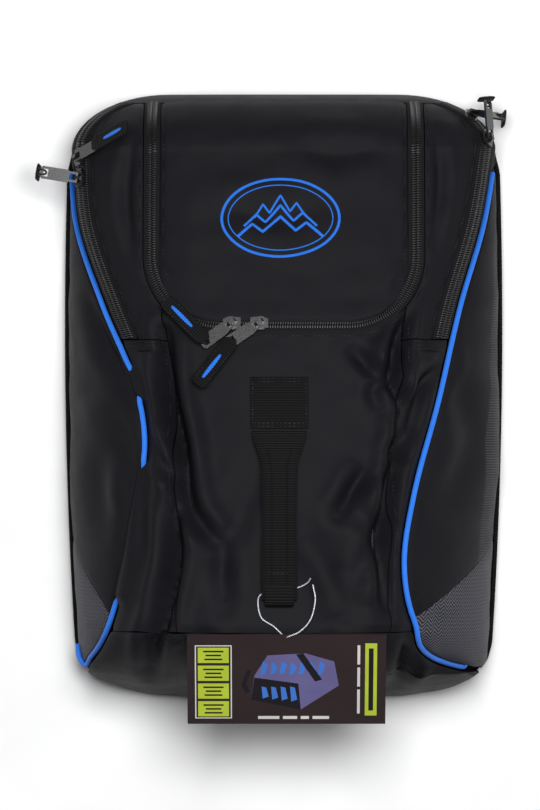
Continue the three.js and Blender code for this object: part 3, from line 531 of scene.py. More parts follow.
def tube(shape, points, radius, sides=10, slot=0, up=(0, 0, 1), flat=1.0):
    """A round or flattened tube along a line of points."""
    points = np.asarray(points, float)
    _, side, off = frames_along(points, up)
    radius = np.broadcast_to(np.asarray(radius, float), len(points))[:, None, None]
    turn = np.linspace(0, 2 * math.pi, sides, endpoint=False)[None, :, None]
    ring = points[:, None] + radius * (np.cos(turn) * side[:, None] + flat * np.sin(turn) * off[:, None])
    run = np.concatenate([[0], np.cumsum(np.linalg.norm(np.diff(points, axis=0), axis=1))]) * MM
    around = np.linspace(0, 1, sides, endpoint=False) * radius.mean() * 2 * math.pi * MM
    places = np.stack(np.broadcast_arrays(around[None], run[:, None]), -1)
    shape.grid(ring, places, slot, around=True)


def ribbon(shape, points, up, width, thickness, slot=0, columns=9, round_edge=True):
    """A flat strip along a line of points, as wide as width says at each, with rounded edges."""
    points = np.asarray(points, float)
    _, side, off = frames_along(points, up)
    half = np.broadcast_to(np.asarray(width, float) / 2, len(points))[:, None, None]
    across = np.linspace(-1, 1, columns)[None, :, None]
    thick = np.sqrt(np.clip(1 - across**8, 0, 1)) if round_edge else np.ones_like(across)
    thick = np.maximum(thick, 0.35) * thickness / 2
    upper = points[:, None] + side[:, None] * half * across + off[:, None] * thick
    lower = points[:, None] + side[:, None] * half * across - off[:, None] * thick
    run = np.concatenate([[0], np.cumsum(np.linalg.norm(np.diff(points, axis=0), axis=1))]) * MM
    places = np.stack(np.broadcast_arrays(half[:, :, 0] * across[0, :, 0] * MM, run[:, None]), -1)
    ring = np.concatenate([upper, lower[:, ::-1]], 1)
    shape.grid(ring[:, ::-1], np.concatenate([places, places[:, ::-1]], 1)[:, ::-1], slot, around=True)


def band(shape, path, width, height, lift=0.0, slot=0, closed=False):
    """A raised thread band on the skin, along plan points."""
    path = np.asarray(path, float)
    points = on_skin(path[:, 0], path[:, 1])
    normal = skin_normal(path[:, 0], path[:, 1])
    points = points + normal * (lift + sampled(RELIEF, path[:, 0], path[:, 1]))[:, None]
    if closed:
        tangent = unit(np.roll(points, -1, 0) - np.roll(points, 1, 0))
    else:
        tangent = unit(np.gradient(points, axis=0))
    side = unit(np.cross(tangent, normal))
    turn = np.linspace(0, 2 * math.pi, 10, endpoint=False)
    ring = (
        points[:, None]
        + side[:, None] * (np.cos(turn) * width / 2)[None, :, None]
        + normal[:, None] * (np.sin(turn) * height)[None, :, None]
    )
    run = np.concatenate([[0], np.cumsum(np.linalg.norm(np.diff(points, axis=0), axis=1))]) * MM
    places = np.stack(np.broadcast_arrays((np.cos(turn) * width / 2 * MM)[None], run[:, None]), -1)
    if closed:
        ring = np.concatenate([ring, ring[:1]])
        places = np.concatenate([places, places[:1]])
    shape.grid(ring, places, slot, around=True, caps=not closed)


def stitches(shape, path, lift=0.25, length=2.6, gap=1.1, width=0.75, height=0.4, slot=0, points=None):
    """A row of lockstitches along plan points, or along given points with their normals."""
    if points is None:
        path = along_line(path, 1.0)
        place = on_skin(path[:, 0], path[:, 1])
        normal = skin_normal(path[:, 0], path[:, 1])
        place = place + normal * (lift + sampled(RELIEF, path[:, 0], path[:, 1]))[:, None]
    else:
        place, normal = points
    run = np.concatenate([[0], np.cumsum(np.linalg.norm(np.diff(place, axis=0), axis=1))])
    starts = np.arange(gap, run[-1] - length, length + gap)
    for start in starts:
        at = start + length * np.array([0, 0.12, 0.5, 0.88, 1.0])
        spot = np.stack([np.interp(at, run, place[:, k]) for k in range(3)], 1)
        up = np.stack([np.interp(at, run, normal[:, k]) for k in range(3)], 1)
        size = np.array([0.25, 0.8, 1.0, 0.8, 0.25])
        _, side, off = frames_along(spot, up)
        turn = np.linspace(0, 2 * math.pi, 6, endpoint=False)
        spot = spot + off * (height * (size - 1))[:, None]
        ring = spot[:, None] + size[:, None, None] * (
            side[:, None] * (np.cos(turn) * width / 2)[None, :, None]
            + off[:, None] * (np.sin(turn) * height)[None, :, None]
        )
        places = np.zeros(ring.shape[:2] + (2,)) + np.array([0, start * MM])
        shape.grid(ring, places, slot, around=True)


# ---------------------------------------------------------------- materials
def add(tree, kind, inputs=None, **settings):
    """A node with its settings, and its inputs as numbers or as (node, output) links."""
    made = tree.nodes.new(kind)
    for name, value in settings.items():
        setattr(made, name, value)
    for socket, value in (inputs or {}).items():
        if isinstance(value, tuple) and isinstance(value[0], bpy.types.Node):
            tree.links.new(value[0].outputs[value[1]], made.inputs[socket])
        else:
            made.inputs[socket].default_value = value
    return made


def blank(name):
    material = bpy.data.materials.new(name)
    material.use_nodes = True
    tree = material.node_tree
    tree.nodes.clear()
    return material, tree


def math_node(tree, operation, *values):
    return add(tree, "ShaderNodeMath", dict(enumerate(values)), operation=operation)


def spread(tree, value, low, high, start=0.3, end=0.7):
    """A value from start to end, spread from low to high."""
    limits = {"From Min": start, "From Max": end, "To Min": low, "To Max": high}
    return add(tree, "ShaderNodeMapRange", {"Value": (value, 0), **limits})


def threads(tree, place, pitch, kind):
    """The height of a thread pattern, from 0 to 1, on a flat place in metres.
    kind is plain, twill, ribs, herringbone or knit, and pitch is one thread's width."""
    turn = 2 * math.pi / pitch
    u = math_node(tree, "MULTIPLY", (place, 0), turn)
    v = math_node(tree, "MULTIPLY", (place, 1), turn)
    if kind == "plain":
        across, down = math_node(tree, "SINE", (u, 0)), math_node(tree, "SINE", (v, 0))
        wave = math_node(tree, "MULTIPLY", (across, 0), (down, 0))
    elif kind == "twill":
        lean = math_node(tree, "ADD", (u, 0), (v, 0))
        wave = math_node(tree, "SINE", (lean, 0))
    elif kind == "ribs":
        wave = math_node(tree, "SINE", (v, 0))
    elif kind == "herringbone":
        stripe = math_node(tree, "PINGPONG", (u, 0), math.pi * 3.0)
        lean = math_node(tree, "ADD", (stripe, 0), (v, 0))
        wave = math_node(tree, "SINE", (lean, 0))
    else:
        half = math_node(tree, "MULTIPLY", (v, 0), 0.5)
        across, down = math_node(tree, "SINE", (u, 0)), math_node(tree, "COSINE", (half, 0))
        wave = math_node(tree, "MULTIPLY", (across, 0), (down, 0))
    return spread(tree, wave, 0.0, 1.0, -1.0, 1.0)


def woven(
    name, colour, light, kind, pitch, depth, roughness, sheen=0.0, noise_depth=0.0, mottle=0.12, gloss=0.08
):  # fmt: skip
    """A woven or knitted cloth. colour and light are the threads' low and high sides, mostly darker and lighter
    copies of one thread colour: painted shade in the weave's hollows and painted light on its crowns.
    """
    material, tree = blank(name)
    uv = add(tree, "ShaderNodeUVMap", uv_map="cloth")
    place = add(tree, "ShaderNodeSeparateXYZ", {0: (uv, 0)})
    height = threads(tree, place, pitch, kind)
    slow = add(tree, "ShaderNodeTexNoise", {"Vector": (uv, 0), "Scale": 38.0, "Detail": 5.0, "Roughness": 0.62})
    fine = add(tree, "ShaderNodeTexNoise", {"Vector": (uv, 0), "Scale": 900.0, "Detail": 2.0})
    # the thread pattern mixes the low sides' painted shade with the high sides' painted light
    sides = {"Factor": (height, 0), 6: (*colour, 1), 7: (*light, 1)}
    base = add(tree, "ShaderNodeMix", sides, data_type="RGBA")
    tone = spread(tree, slow, 1 - mottle, 1 + mottle)
    fleck = spread(tree, fine, 0.88, 1.12)
    both = math_node(tree, "MULTIPLY", (tone, 0), (fleck, 0))
    tinted = add(tree, "ShaderNodeVectorMath", {0: (base, 2), "Scale": (both, 0)}, operation="SCALE")
    rough = spread(tree, slow, roughness - 0.06, roughness + 0.06)
    total = math_node(tree, "MULTIPLY_ADD", (slow, 0), noise_depth, (height, 0))
    bump = add(tree, "ShaderNodeBump", {"Strength": 1.0, "Distance": depth * MM, "Height": (total, 0)})
    shader = add(
        tree,
        "ShaderNodeBsdfPrincipled",
        {
            "Base Color": (tinted, 0),
            "Roughness": (rough, 0),
            "Normal": (bump, 0),
            "IOR": 1.5,
            "Specular IOR Level": gloss,
            "Sheen Weight": sheen,
            "Sheen Roughness": 0.5,
            "Sheen Tint": (0.75, 0.78, 0.9, 1),
        },
    )
    add(tree, "ShaderNodeOutputMaterial", {"Surface": (shader, 0)})
    return material


def moulded(name, colour, roughness, metallic=0.0, grain=0.0, scale=700.0, coat=0.0, see_through=0.0):
    """A cast, moulded or lacquered surface with a fine grain and slightly uneven gloss."""
    material, tree = blank(name)
    place = add(tree, "ShaderNodeTexCoord")
    noise = add(tree, "ShaderNodeTexNoise", {"Vector": (place, 3), "Scale": scale, "Detail": 4.0})
    wide = add(tree, "ShaderNodeTexNoise", {"Vector": (place, 3), "Scale": scale / 14, "Detail": 3.0})
    tone = add(
        tree,
        "ShaderNodeMix",
        {"Factor": (wide, 0), 6: (*[c * 0.8 for c in colour], 1), 7: (*[min(1, c * 1.2) for c in colour], 1)},
        data_type="RGBA",
    )
    rough = spread(tree, noise, roughness - 0.07, roughness + 0.07)
    bump = add(tree, "ShaderNodeBump", {"Strength": 0.6, "Distance": grain * MM, "Height": (noise, 0)})
    shader = add(
        tree,
        "ShaderNodeBsdfPrincipled",
        {
            "Base Color": (tone, 2),
            "Roughness": (rough, 0),
            "Metallic": metallic,
            "Normal": (bump, 0),
            "Coat Weight": coat,
            "Coat Roughness": 0.2,
            "Transmission Weight": see_through,
        },
    )
    add(tree, "ShaderNodeOutputMaterial", {"Surface": (shader, 0)})
    return material


MATERIALS = {}


def make_materials(colours):
    """Every finish on the bag. Real threads are finer than these pitches, drawn so that they show."""
    cloth = tuple(colours.cloth)
    # painted shade: the cloth colour darkened to 0.62 for the low sides of its threads
    painted_thread_shade = tuple(c * 0.62 for c in cloth)
    web = tuple(colours.webbing)
    blue = tuple(colours.piping)
    # 600 denier polyester, plain woven from 0.35 mm yarn and drawn at 1.1 mm: a dry, even near-black, the cloth
    # colour on the threads' crowns and painted shade on their low sides
    MATERIALS["polyester"] = woven(
        "polyester_plain_weave", painted_thread_shade, cloth, "plain", 1.1 * MM, 0.10, 0.55, 0.0, 0.6, gloss=0.06
    )
    # the same cloth's lining side, smoother and greyer, its threads' low sides painted darker as shade
    MATERIALS["lining"] = woven(
        "polyester_lining", linear("1b1b1f"), linear("2b2b30"), "plain", 0.9 * MM, 0.05, 0.6
    )
    # hard-wearing jacquard polyester, its slanted ribs drawn 3.2 mm apart: dark grey, fine broken lines; the
    # grey herringbone is its own pattern, and the near-black low threads are partly painted shade
    patch = tuple(colours.patch)
    MATERIALS["jacquard"] = woven(
        "polyester_herringbone", linear("0b0b0d"), patch, "herringbone", 3.2 * MM, 0.22, 0.55, 0.01
    )
    # the ribbed side of the same jacquard, ribs drawn 2.2 mm apart: faint level lines, painted as lighter
    # crowns over painted-shade hollows
    MATERIALS["ribbed"] = woven(
        "polyester_rib_weave", linear("0f0f11"), linear("3c3c42"), "ribs", 2.2 * MM, 0.2, 0.6
    )
    # woven polyester tape over a cotton cord, drawn at 1 mm: a clear mid blue, soft-edged highlights, the
    # twill's low sides painted in shade at 0.72 of the blue
    MATERIALS["piping"] = woven(
        "piping_tape_blue", tuple(c * 0.72 for c in blue), blue, "twill", 1.0 * MM, 0.08, 0.5, 0.1, mottle=0.06
    )
    # polypropylene webbing, its picks drawn 2.2 mm apart: strong cross ribs, their hollows painted in shade at
    # 0.35 of the webbing colour, a low waxy sheen
    MATERIALS["webbing"] = woven(
        "webbing_polypropylene", tuple(c * 0.35 for c in web), web, "ribs", 2.2 * MM, 0.5, 0.6, 0.0, 0.4
    )
    # zip tape, knitted polyester, its low threads painted darker as shade
    MATERIALS["zip_tape"] = woven(
        "zip_tape_knit", linear("0d0d0f"), linear("1d1d20"), "herringbone", 1.2 * MM, 0.1, 0.78
    )
    # sewing thread, bonded polyester, black and slightly glossy, with painted shade and painted light along its
    # twist
    MATERIALS["thread"] = woven(
        "bonded_thread", linear("0c0c0e"), linear("2a2a2e"), "twill", 0.6 * MM, 0.05, 0.45
    )
    # embroidery thread, trilobal polyester: the same blue, with a silky line of light on each stitch painted in
    # as the blue crown beside painted shade at half the blue
    MATERIALS["embroidery"] = woven(
        "embroidery_thread", tuple(c * 0.5 for c in blue), blue, "ribs", 0.9 * MM, 0.16, 0.36, 0.05, mottle=0.05
    )
    # spacer mesh over foam, its holes 3 mm apart, the knit's low parts painted darker as shade
    MATERIALS["mesh"] = woven("spacer_mesh", linear("0e0e10"), linear("2e2e33"), "knit", 3.0 * MM, 0.7, 0.75)
    # coil of 0.7 mm nylon monofilament
    MATERIALS["coil"] = moulded("nylon_coil", linear("0b0b0c"), 0.5, grain=0.01)
    # zinc die casting under black lacquer: dark, with small hard glints
    MATERIALS["metal"] = moulded("zinc_black_lacquer", linear("0d0d0e"), 0.3, grain=0.004, coat=0.3)
    # acetal, moulded with a fine spark texture
    MATERIALS["acetal"] = moulded("acetal_black", linear("161617"), 0.42, grain=0.05)
    # nylon monofilament, clear
    MATERIALS["clear"] = moulded("nylon_clear", linear("dfe3ea"), 0.2, grain=0.01, see_through=0.55)
    # extruded board with a pebble grain
    MATERIALS["board"] = moulded("polyethylene_board", linear("1a1a1c"), 0.5, grain=0.15, scale=320)
    # varnished card stock, printed: brown-black, lime, pale grey and muted violet inks
    for key, code in {
        "card": "2a2021",
        "ink_lime": "a9b935",
        "ink_pale": "c9c6c2",
        "ink_violet": "5f5a86",
        "ink_dark": "17141a",
        "ink_blue": "3c6fc0",
    }.items():
        MATERIALS[key] = moulded(f"card_{key}", linear(code), 0.36, grain=0.02, scale=500, coat=0.25)


# ---------------------------------------------------------------- cloth panels
def edge_sink(a, b, size, edges):
    """How far the cloth draws down beside its seams: the four edges' depths are left, right, low, high."""
    gaps = (a * size[0], (1 - a) * size[0], b * size[1], (1 - b) * size[1])
    sink = np.zeros_like(a)
    for gap, depth in zip(gaps, edges):
        sink -= depth * np.exp(-((gap / 3.2) ** 2))
    return sink


def cloth_panel(shape, plan, counts, edges, wall=2.4, slot=0, slot_of=None, lift=None, relief=1.0):
    """Adds a panel of the skin: plan(a, b) gives plan points, counts its squares, edges its seams' depths."""
    a, b = np.meshgrid(np.linspace(0, 1, counts[0] + 1), np.linspace(0, 1, counts[1] + 1))
    x, y = plan(a, b)
    x, y = np.broadcast_arrays(np.asarray(x, float), np.asarray(y, float))
    rough = on_skin(x, y)
    mid = rough.shape[0] // 2, rough.shape[1] // 2
    width = np.linalg.norm(np.diff(rough[mid[0]], axis=0), axis=1).sum()
    length = np.linalg.norm(np.diff(rough[:, mid[1]], axis=0), axis=1).sum()
    rise = sampled(RELIEF, x, y) * relief + edge_sink(a, b, (width, length), edges)
    if lift is not None:
        rise = rise + lift(x, y, a, b)
    outer = on_skin(x, y, rise)
    inner = on_skin(x, y, rise - wall)
    places = cloth_place(x, y)
    faces = None if slot_of is None else slot_of(x, y, a, b)[:-1, :-1].astype(int)
    turned = np.cross(outer[0, 1] - outer[0, 0], outer[1, 0] - outer[0, 0])[2] < 0
    if turned:
        outer, inner, places = outer[:, ::-1], inner[:, ::-1], places[:, ::-1]
        faces = None if faces is None else faces[:, ::-1]
    shape.sheet(outer, inner, places, slot, faces)


def lid_plan():
    corner = lid_share_at_arc(45)
    x0, y0 = lid_edge(0.0, -SEAM_GAP)

    def reach(b):
        return lerp(6.0, -SEAM_GAP, smooth(b, 0, 0.35))

    return coons(
        lambda a: lid_edge(lerp(corner, 1 - corner, a), reach(0)),
        lambda a: (lerp(x0, -x0, a), y0 + 0 * a),
        lambda b: lid_edge(lerp(corner, 0, b), reach(b)),
        lambda b: lid_edge(lerp(1 - corner, 1, b), reach(b)),
    )


def front_plan():
    top_share = lid_share_at_arc(40)
    limit = ZIP_WIDTH + 2 * SEAM_GAP
    junction = lid_edge(top_share, limit)[1]

    def edge(sign):
        def at(b):
            y = lerp(BASE_SEAM_Y + SEAM_GAP, junction, b)
            return sign * (centre_seam_x(y) - SEAM_GAP), y

        return at

    def cut(a):
        x, y = lid_edge(lerp(top_share, 1 - top_share, a), limit - 4.4 * smooth(np.minimum(a, 1 - a), 0, 0.15))
        side = centre_seam_x(y) - SEAM_GAP
        return np.clip(x, -side, side), y

    half = edge(1)(0.0)[0]
    return coons(lambda a: (lerp(-half, half, a), BASE_SEAM_Y + SEAM_GAP + 0 * a), cut, edge(-1), edge(1))


def over_piping(sign, y):
    """How much the slack front strip rolls out over the piping, from 0 to 1, on the left side."""
    if sign > 0:
        return 0 * y
    return np.maximum(hump(y, 2, 18, 8), hump(y, -168, -66, 12))


def strip_plan(sign):
    def place(a, b):
        y = lerp(BASE_SEAM_Y + SEAM_GAP, FLAP_Y - SEAM_GAP, b)
        edge = beside_piping(sign, y, 1) + over_piping(sign, y) * (PIPING_GAP + 3.0)
        return sign * lerp(centre_seam_x(y) + SEAM_GAP, edge, a), y

    return place


def strip_lift(sign):
    def lift(x, y, a, b):
        near = np.exp(-(((1 - a) / 0.22) ** 2))
        edge = 1 - 0.55 * smooth(a, 0.9, 1)
        return over_piping(sign, y) * near * edge * (3.6 + 2.2 * np.sin(np.pi * np.clip(a, 0, 1)))

    return lift


def yoke_inner_x(y):
    outside = ZIP_WIDTH + 2 * SEAM_GAP
    radius = LID_CORNER + outside
    rise = np.clip((LID_ARC_Y - y) / radius, 0, 1)
    arc = np.maximum(LID_ARC_X + radius * np.sqrt(1 - rise**2), centre_seam_x(y) + SEAM_GAP)
    return np.where(y > LID_ARC_Y, LID_HALF + outside, arc)


def yoke_plan(sign):
    def place(a, b):
        y = lerp(FLAP_Y + SEAM_GAP, TOP_SEAM_Y - SEAM_GAP, b)
        return sign * lerp(yoke_inner_x(y), boot_zip_x(sign, y) - ZIP_WIDTH / 2 - SEAM_GAP, a), y

    return place


def side_x(sign, a, y):
    seam = np.minimum(beside_piping(sign, y, -1) + 2 * SEAM_GAP, rim_x(y) - 1)
    return sign * lerp(rim_x(y), seam, a * (0.3 + 0.7 * a))


def patch_top(a):
    return BASE_Y + lerp(139.0, 74.0, a)


def patch_plan(sign):
    def place(a, b):
        y = lerp(BASE_Y + 27 + 0 * a, patch_top(a) - SEAM_GAP, b)
        return side_x(sign, a, y), y

    return place


def side_plan(sign):
    """The side panel and its boot flap, which are one cloth."""

    def place(a, b):
        y = lerp(patch_top(a) + SEAM_GAP, FLAP_END_Y + 0 * a, b)
        return side_x(sign, a, y), y

    return place


def base_plan(a, b):
    y = lerp(BASE_Y, BASE_SEAM_Y - SEAM_GAP, b * b * 0.6 + b * 0.4)
    swing = np.sin((a - 0.5) * np.pi)
    sign = np.where(swing < 0, -1, 1)
    past = np.clip((BASE_Y + 25 - y) / 3, 0, 1)
    return swing * lerp(beside_piping(sign, y, 1) - SEAM_GAP, rim_x(y), past), y


def top_plan(a, b):
    y = lerp(TOP_SEAM_Y, TOP_Y, 1 - (1 - b) ** 2)
    return np.sin((a - 0.5) * np.pi) * rim_x(y), y


class BagSizes(bpy.types.PropertyGroup):
    wall: bpy.props.FloatProperty(
        name="Cloth wall", description="Cloth, foam and lining together", default=2.4 * MM, unit="LENGTH"
    )
    coil_pitch: bpy.props.FloatProperty(
        name="Zip tooth spacing", description="From one coil turn to the next", default=2.1 * MM, unit="LENGTH"
    )
    piping: bpy.props.FloatProperty(
        name="Piping diameter", description="Across the blue cord", default=PIPING_DIAMETER * MM, unit="LENGTH"
    )
    lens: bpy.props.FloatProperty(
        name="Camera lens", description="Long lens, for a nearly flat view", default=250.0, unit="CAMERA"
    )
    field: bpy.props.FloatProperty(
        name="Field height", description="What the view takes in, top to bottom", default=0.6885, unit="LENGTH"
    )


def colour_property(name, description, code):
    return bpy.props.FloatVectorProperty(
        name=name, description=description, default=linear(code), subtype="COLOR", min=0, max=1, size=3
    )


class BagColours(bpy.types.PropertyGroup):
    cloth: colour_property("Cloth", "The shell's polyester", "1a1a1e")
    webbing: colour_property("Webbing", "Handle and straps", "161617")
    piping: colour_property("Piping", "Piping, stripes and embroidery", "2f7bea")
    patch: colour_property("Corner patches", "Raised threads of the herringbone", "54545c")
    floor: colour_property("Floor", "The table under the bag", "f2f2f2")


def sizes():
    return bpy.context.scene.bag_sizes


def colours():
    return bpy.context.scene.bag_colours


# ---------------------------------------------------------------- the stage
CAMERA_AT = (-0.0119, -0.0085)  # over the middle of the bag and its card
CROWN = 0.14  # the height that the field is measured at
FLOOR_HALF = 3.0
SOFTBOXES = (
    ("softbox_over", (0.12, 0.28, 2.4), (1.0, 0.8), 66),
    ("softbox_left", (-1.7, 0.1, 0.9), (0.6, 1.4), 5),
    ("softbox_right", (1.7, 0.1, 0.9), (0.6, 1.4), 6),
)  # name, place, size in metres, watts


class BAG_OT_stage(bpy.types.Operator):
    """Camera, floor, soft light and the finishes"""

    bl_idname = "bag.stage"
    bl_label = "Stage"

    def execute(self, context):
        scene = context.scene
        look = bpy.data.cameras.new("camera")
        camera = bpy.data.objects.new("camera", look)
        scene.collection.objects.link(camera)
        scene.camera = camera
        look.lens = sizes().lens
        look.sensor_width = 36
        look.clip_end = 50
        distance = sizes().field * look.lens / look.sensor_width
        camera.location = (*CAMERA_AT, CROWN + distance)
        scene.view_settings.view_transform = "Standard"

        floor_material = moulded("matt_board_white", tuple(colours().floor), 0.8, grain=0.02, scale=60)
        me = bpy.data.meshes.new("floor")
        corners = [(x * FLOOR_HALF, y * FLOOR_HALF, 0) for x, y in ((-1, -1), (1, -1), (1, 1), (-1, 1))]
        me.from_pydata(corners, [], [(0, 1, 2, 3)])
        me.materials.append(floor_material)
        floor = bpy.data.objects.new("floor", me)
        scene.collection.objects.link(floor)

        world = bpy.data.worlds.new("studio")
        world.use_nodes = True
        scene.world = world
        sky = world.node_tree.nodes["Background"].inputs
        sky["Color"].default_value = (0.93, 0.95, 1.0, 1)
        sky["Strength"].default_value = 0.1
        for name, place, size, power in SOFTBOXES:
            lamp = bpy.data.lights.new(name, "AREA")
            lamp.shape = "RECTANGLE"
            lamp.size, lamp.size_y = size
            lamp.energy = power
            light = bpy.data.objects.new(name, lamp)
            light.location = place
            aim = Vector((0, 0, 0.1)) - Vector(place)
            light.rotation_euler = aim.to_track_quat("-Z", "Y").to_euler()
            scene.collection.objects.link(light)
        make_materials(colours())
        return {"FINISHED"}


# ---------------------------------------------------------------- hang card and its loop
HANDLE_X, HANDLE_START_Y, HANDLE_END_Y = -4.0, -29.0, -172.0


def over(x, y, lift):
    return (x, y, float(skin_z(np.array(float(x)), np.array(float(y)))) + lift)


def loop_route():
    top, end = BASE_SEAM_Y - 3, HANDLE_END_Y
    hinge = np.array((2, top, float(skin_z(np.array(0.0), np.array(BASE_SEAM_Y))) + 6))
    return [
        over(24, end + 13, 9), over(26, end, 9), over(22, end - 16, 9), over(13, top + 5, 11),
        hinge + (2, 1, 4), hinge, hinge + (-3, 1.5, -3.4),
        over(-9, top + 9, 2.2), over(-19, top + 16, 3), over(-22, end - 3, 3.4), over(-20, end + 4, 2.6),
        over(-10, end + 8, 2), over(10, end + 10, 2), over(19, end + 14, 4), over(22, end + 18, 8),
    ]  # fmt: skip


class BAG_OT_hang_card(bpy.types.Operator):
    """The printed hang card and the clear loop that ties it to the handle"""

    bl_idname = "bag.hang_card"
    bl_label = "Hang card"

    def execute(self, context):
        card_piece()
        path = along_line(loop_route(), 1.5)
        shape = Shape()
        tube(shape, path, 0.6, 10, up=(0.1, 0.2, 1))
        loop = shape.made("hang_loop", [MATERIALS["clear"]])
        settle(loop, "shell", ["tag_loop"])
        return {"FINISHED"}


CARD = {"width": 167.0, "height": 89.0, "thick": 0.8, "tilt": 30.0, "hole": 6.0}


def card_piece():
    """The card lies in a plane that tilts down from its hole; its print stands a hair proud."""
    low, high = in_mm("tag_card")
    tilt = math.radians(CARD["tilt"])
    right = np.array([1.0, 0, 0])
    up = np.array([0, math.cos(tilt), math.sin(tilt)])
    off = np.cross(right, up)
    centre = (low + high) / 2

    def at(u, v, w=0.0):
        u, v = np.broadcast_arrays(np.asarray(u, float), np.asarray(v, float))
        w = np.broadcast_to(np.asarray(w, float), u.shape)
        return centre + u[..., None] * right + v[..., None] * up + w[..., None] * off

    shape = Shape()
    half = np.array([CARD["width"], CARD["height"]]) / 2
    us, vs = np.linspace(-half[0], half[0], 43), np.linspace(-half[1], half[1], 24)
    u, v = np.meshgrid(us, vs)
    thick = CARD["thick"] / 2
    places = np.stack([u, v], -1) * MM
    shape.sheet(at(u, v, 0 * u + thick), at(u, v, 0 * u - thick), places)

    def patch(corners, slot, rise=0.06):
        corners = np.array(corners, float)
        top = at(corners[:, 0], corners[:, 1], np.full(len(corners), thick + rise))
        low_side = at(corners[:, 0], corners[:, 1], np.full(len(corners), thick - 0.2))
        n = len(corners)
        faces = [list(range(n))] + [[k + n, (k + 1) % n + n, (k + 1) % n, k] for k in range(n)]
        faces.append(list(range(2 * n - 1, n - 1, -1)))
        shape.add(np.concatenate([top, low_side]), np.concatenate([corners] * 2) * MM, faces, slot)

    def box(u0, u1, v0, v1, slot, rise=0.06):
        patch([(u0, v0), (u1, v0), (u1, v1), (u0, v1)], slot, rise)

    # pale frame round four lime blocks on the left, each with plain bars
    box(-77, -46, -39, 34, 2, 0.05)
    box(-76, -47, -38, 33, 0, 0.07)
    for row in range(4):
        v0 = 16.5 - row * 17.8
        box(-74.5, -48.5, v0, v0 + 15.2, 1, 0.1)
        for bar, width in enumerate((17, 13, 15)):
            mid = v0 + 11.4 - bar * 3.9
            box(-61.5 - width / 2, -61.5 + width / 2, mid - 0.8, mid + 0.8, 3, 0.14)
    # a small picture of a bag: a violet wedge with blue folds and a dark strap
    patch([(-30, -20), (12, -30), (44, -6), (40, 18), (16, 26), (-16, 24), (-27, 4)], 4, 0.08)
    patch([(-30, -20), (12, -30), (10, -4), (-27, 2)], 5, 0.11)
    for k in range(7):
        u0 = -22 + 8 * k
        patch([(u0, 4 + (k % 3)), (u0 + 4, 6), (u0 + 6.5, 15 - (k % 2) * 3), (u0 + 2, 18)], 6, 0.13)
    for k in range(4):
        u0 = -20 + 8 * k
        patch([(u0, -19 - k), (u0 + 5, -17 - k), (u0 + 3, -8), (u0 - 1, -7)], 6, 0.13)
    patch([(8, 25), (14, 26), (30, 0), (24, -2)], 3, 0.15)
    patch([(-38, -6), (-34, -14), (-31, -12), (-34, -4), (-30, 8), (-33, 10)], 3, 0.1)
    # plain caption bars and a broad lime bar down the right edge
    for u0, u1 in ((-24, -6), (-3, 9), (12, 19), (22, 36)):
        box(u0, u1, -39.5, -36.6, 2, 0.1)
    box(66, 76, -36, 36, 1, 0.1)
    box(69, 73, -31, 31, 3, 0.13)
    for v0, v1 in ((-34, -10), (-7, 12), (15, 34)):
        box(59.5, 61.8, v0, v1, 2, 0.1)
    names = ["card", "ink_lime", "ink_pale", "ink_dark", "ink_violet", "ink_dark", "ink_blue"]
    piece = shape.made("hang_card", [MATERIALS[k] for k in names], 30)
    return settle(piece, "tag", ["tag_card"])


# ---------------------------------------------------------------- the cloth shell
class BAG_OT_shell(bpy.types.Operator):
    """The bag's cloth panels, cut from one skin with its slack folds"""

    bl_idname = "bag.shell"
    bl_label = "Cloth shell"

    def execute(self, context):
        wall = sizes().wall / MM
        cloth = [MATERIALS["polyester"]]

        def piece(name, plan, counts, edges, body, node, **more):
            shape = Shape()
            cloth_panel(shape, plan, counts, edges, wall, **more)
            return settle(shape.made(name, cloth), body, [node])

        piece("lid_cloth", lid_plan(), (96, 84), (1.0, 1.0, 1.0, 0.8), "lid", "lid_panel", lift=lid_puff)
        piece("front_cloth", front_plan(), (92, 120), (1.2, 1.2, 1.4, 0.8), "shell", "front_panel")
        piece("base_cloth", base_plan, (130, 32), (0.6, 0.6, 0.2, 1.4), "shell", "base_panel")
        piece("top_cloth", top_plan, (110, 8), (0.2, 0.2, 0.5, 0.2), "shell", "top_panel")
        for name, sign in SIDES.items():
            piece(
                f"front_strip_cloth_{name}", strip_plan(sign), (26, 116), (1.2, 1.0, 1.4, 1.0), "shell",
                f"front_strip_{name}", lift=strip_lift(sign),
            )  # fmt: skip
            piece(
                f"yoke_cloth_{name}", yoke_plan(sign), (26, 96), (0.8, 0.8, 1.0, 0.8), "shell", f"yoke_{name}"
            )  # fmt: skip
            shape = Shape()
            cloth_panel(shape, patch_plan(sign), (34, 52), (0.2, 1.0, 0.2, 1.0), wall)
            patch = shape.made(f"corner_patch_cloth_{name}", [MATERIALS["jacquard"]])
            settle(patch, "shell", [f"corner_patch_{name}"])
            shape = Shape()
            band_edge = 0.34 if sign > 0 else 0.0
            cloth_panel(
                shape, side_plan(sign), (40, 150), (0.2, 1.2, 1.0, 0.4), wall,
                slot_of=lambda x, y, a, b: (a < band_edge) & (y < 170),
            )  # fmt: skip
            side = shape.made(f"side_cloth_{name}", [MATERIALS["polyester"], MATERIALS["ribbed"]])
            settle_between(
                side,
                [f"side_panel_{name}", f"side_flap_{name}"],
            )  # fmt: skip
        return {"FINISHED"}


def lid_puff(x, y, a, b):
    """The padded lid stands slightly proud of its zip."""
    puff = np.sqrt(np.clip(np.minimum(np.minimum(a, 1 - a) * 212, np.minimum(b, 1.2 - b) * 186) / 26, 0, 1))
    over_zip = (1 - smooth(b, 0, 0.14)) * smooth(np.minimum(a, 1 - a), 0, 0.08)
    return 2.2 * puff + 2.7 * over_zip


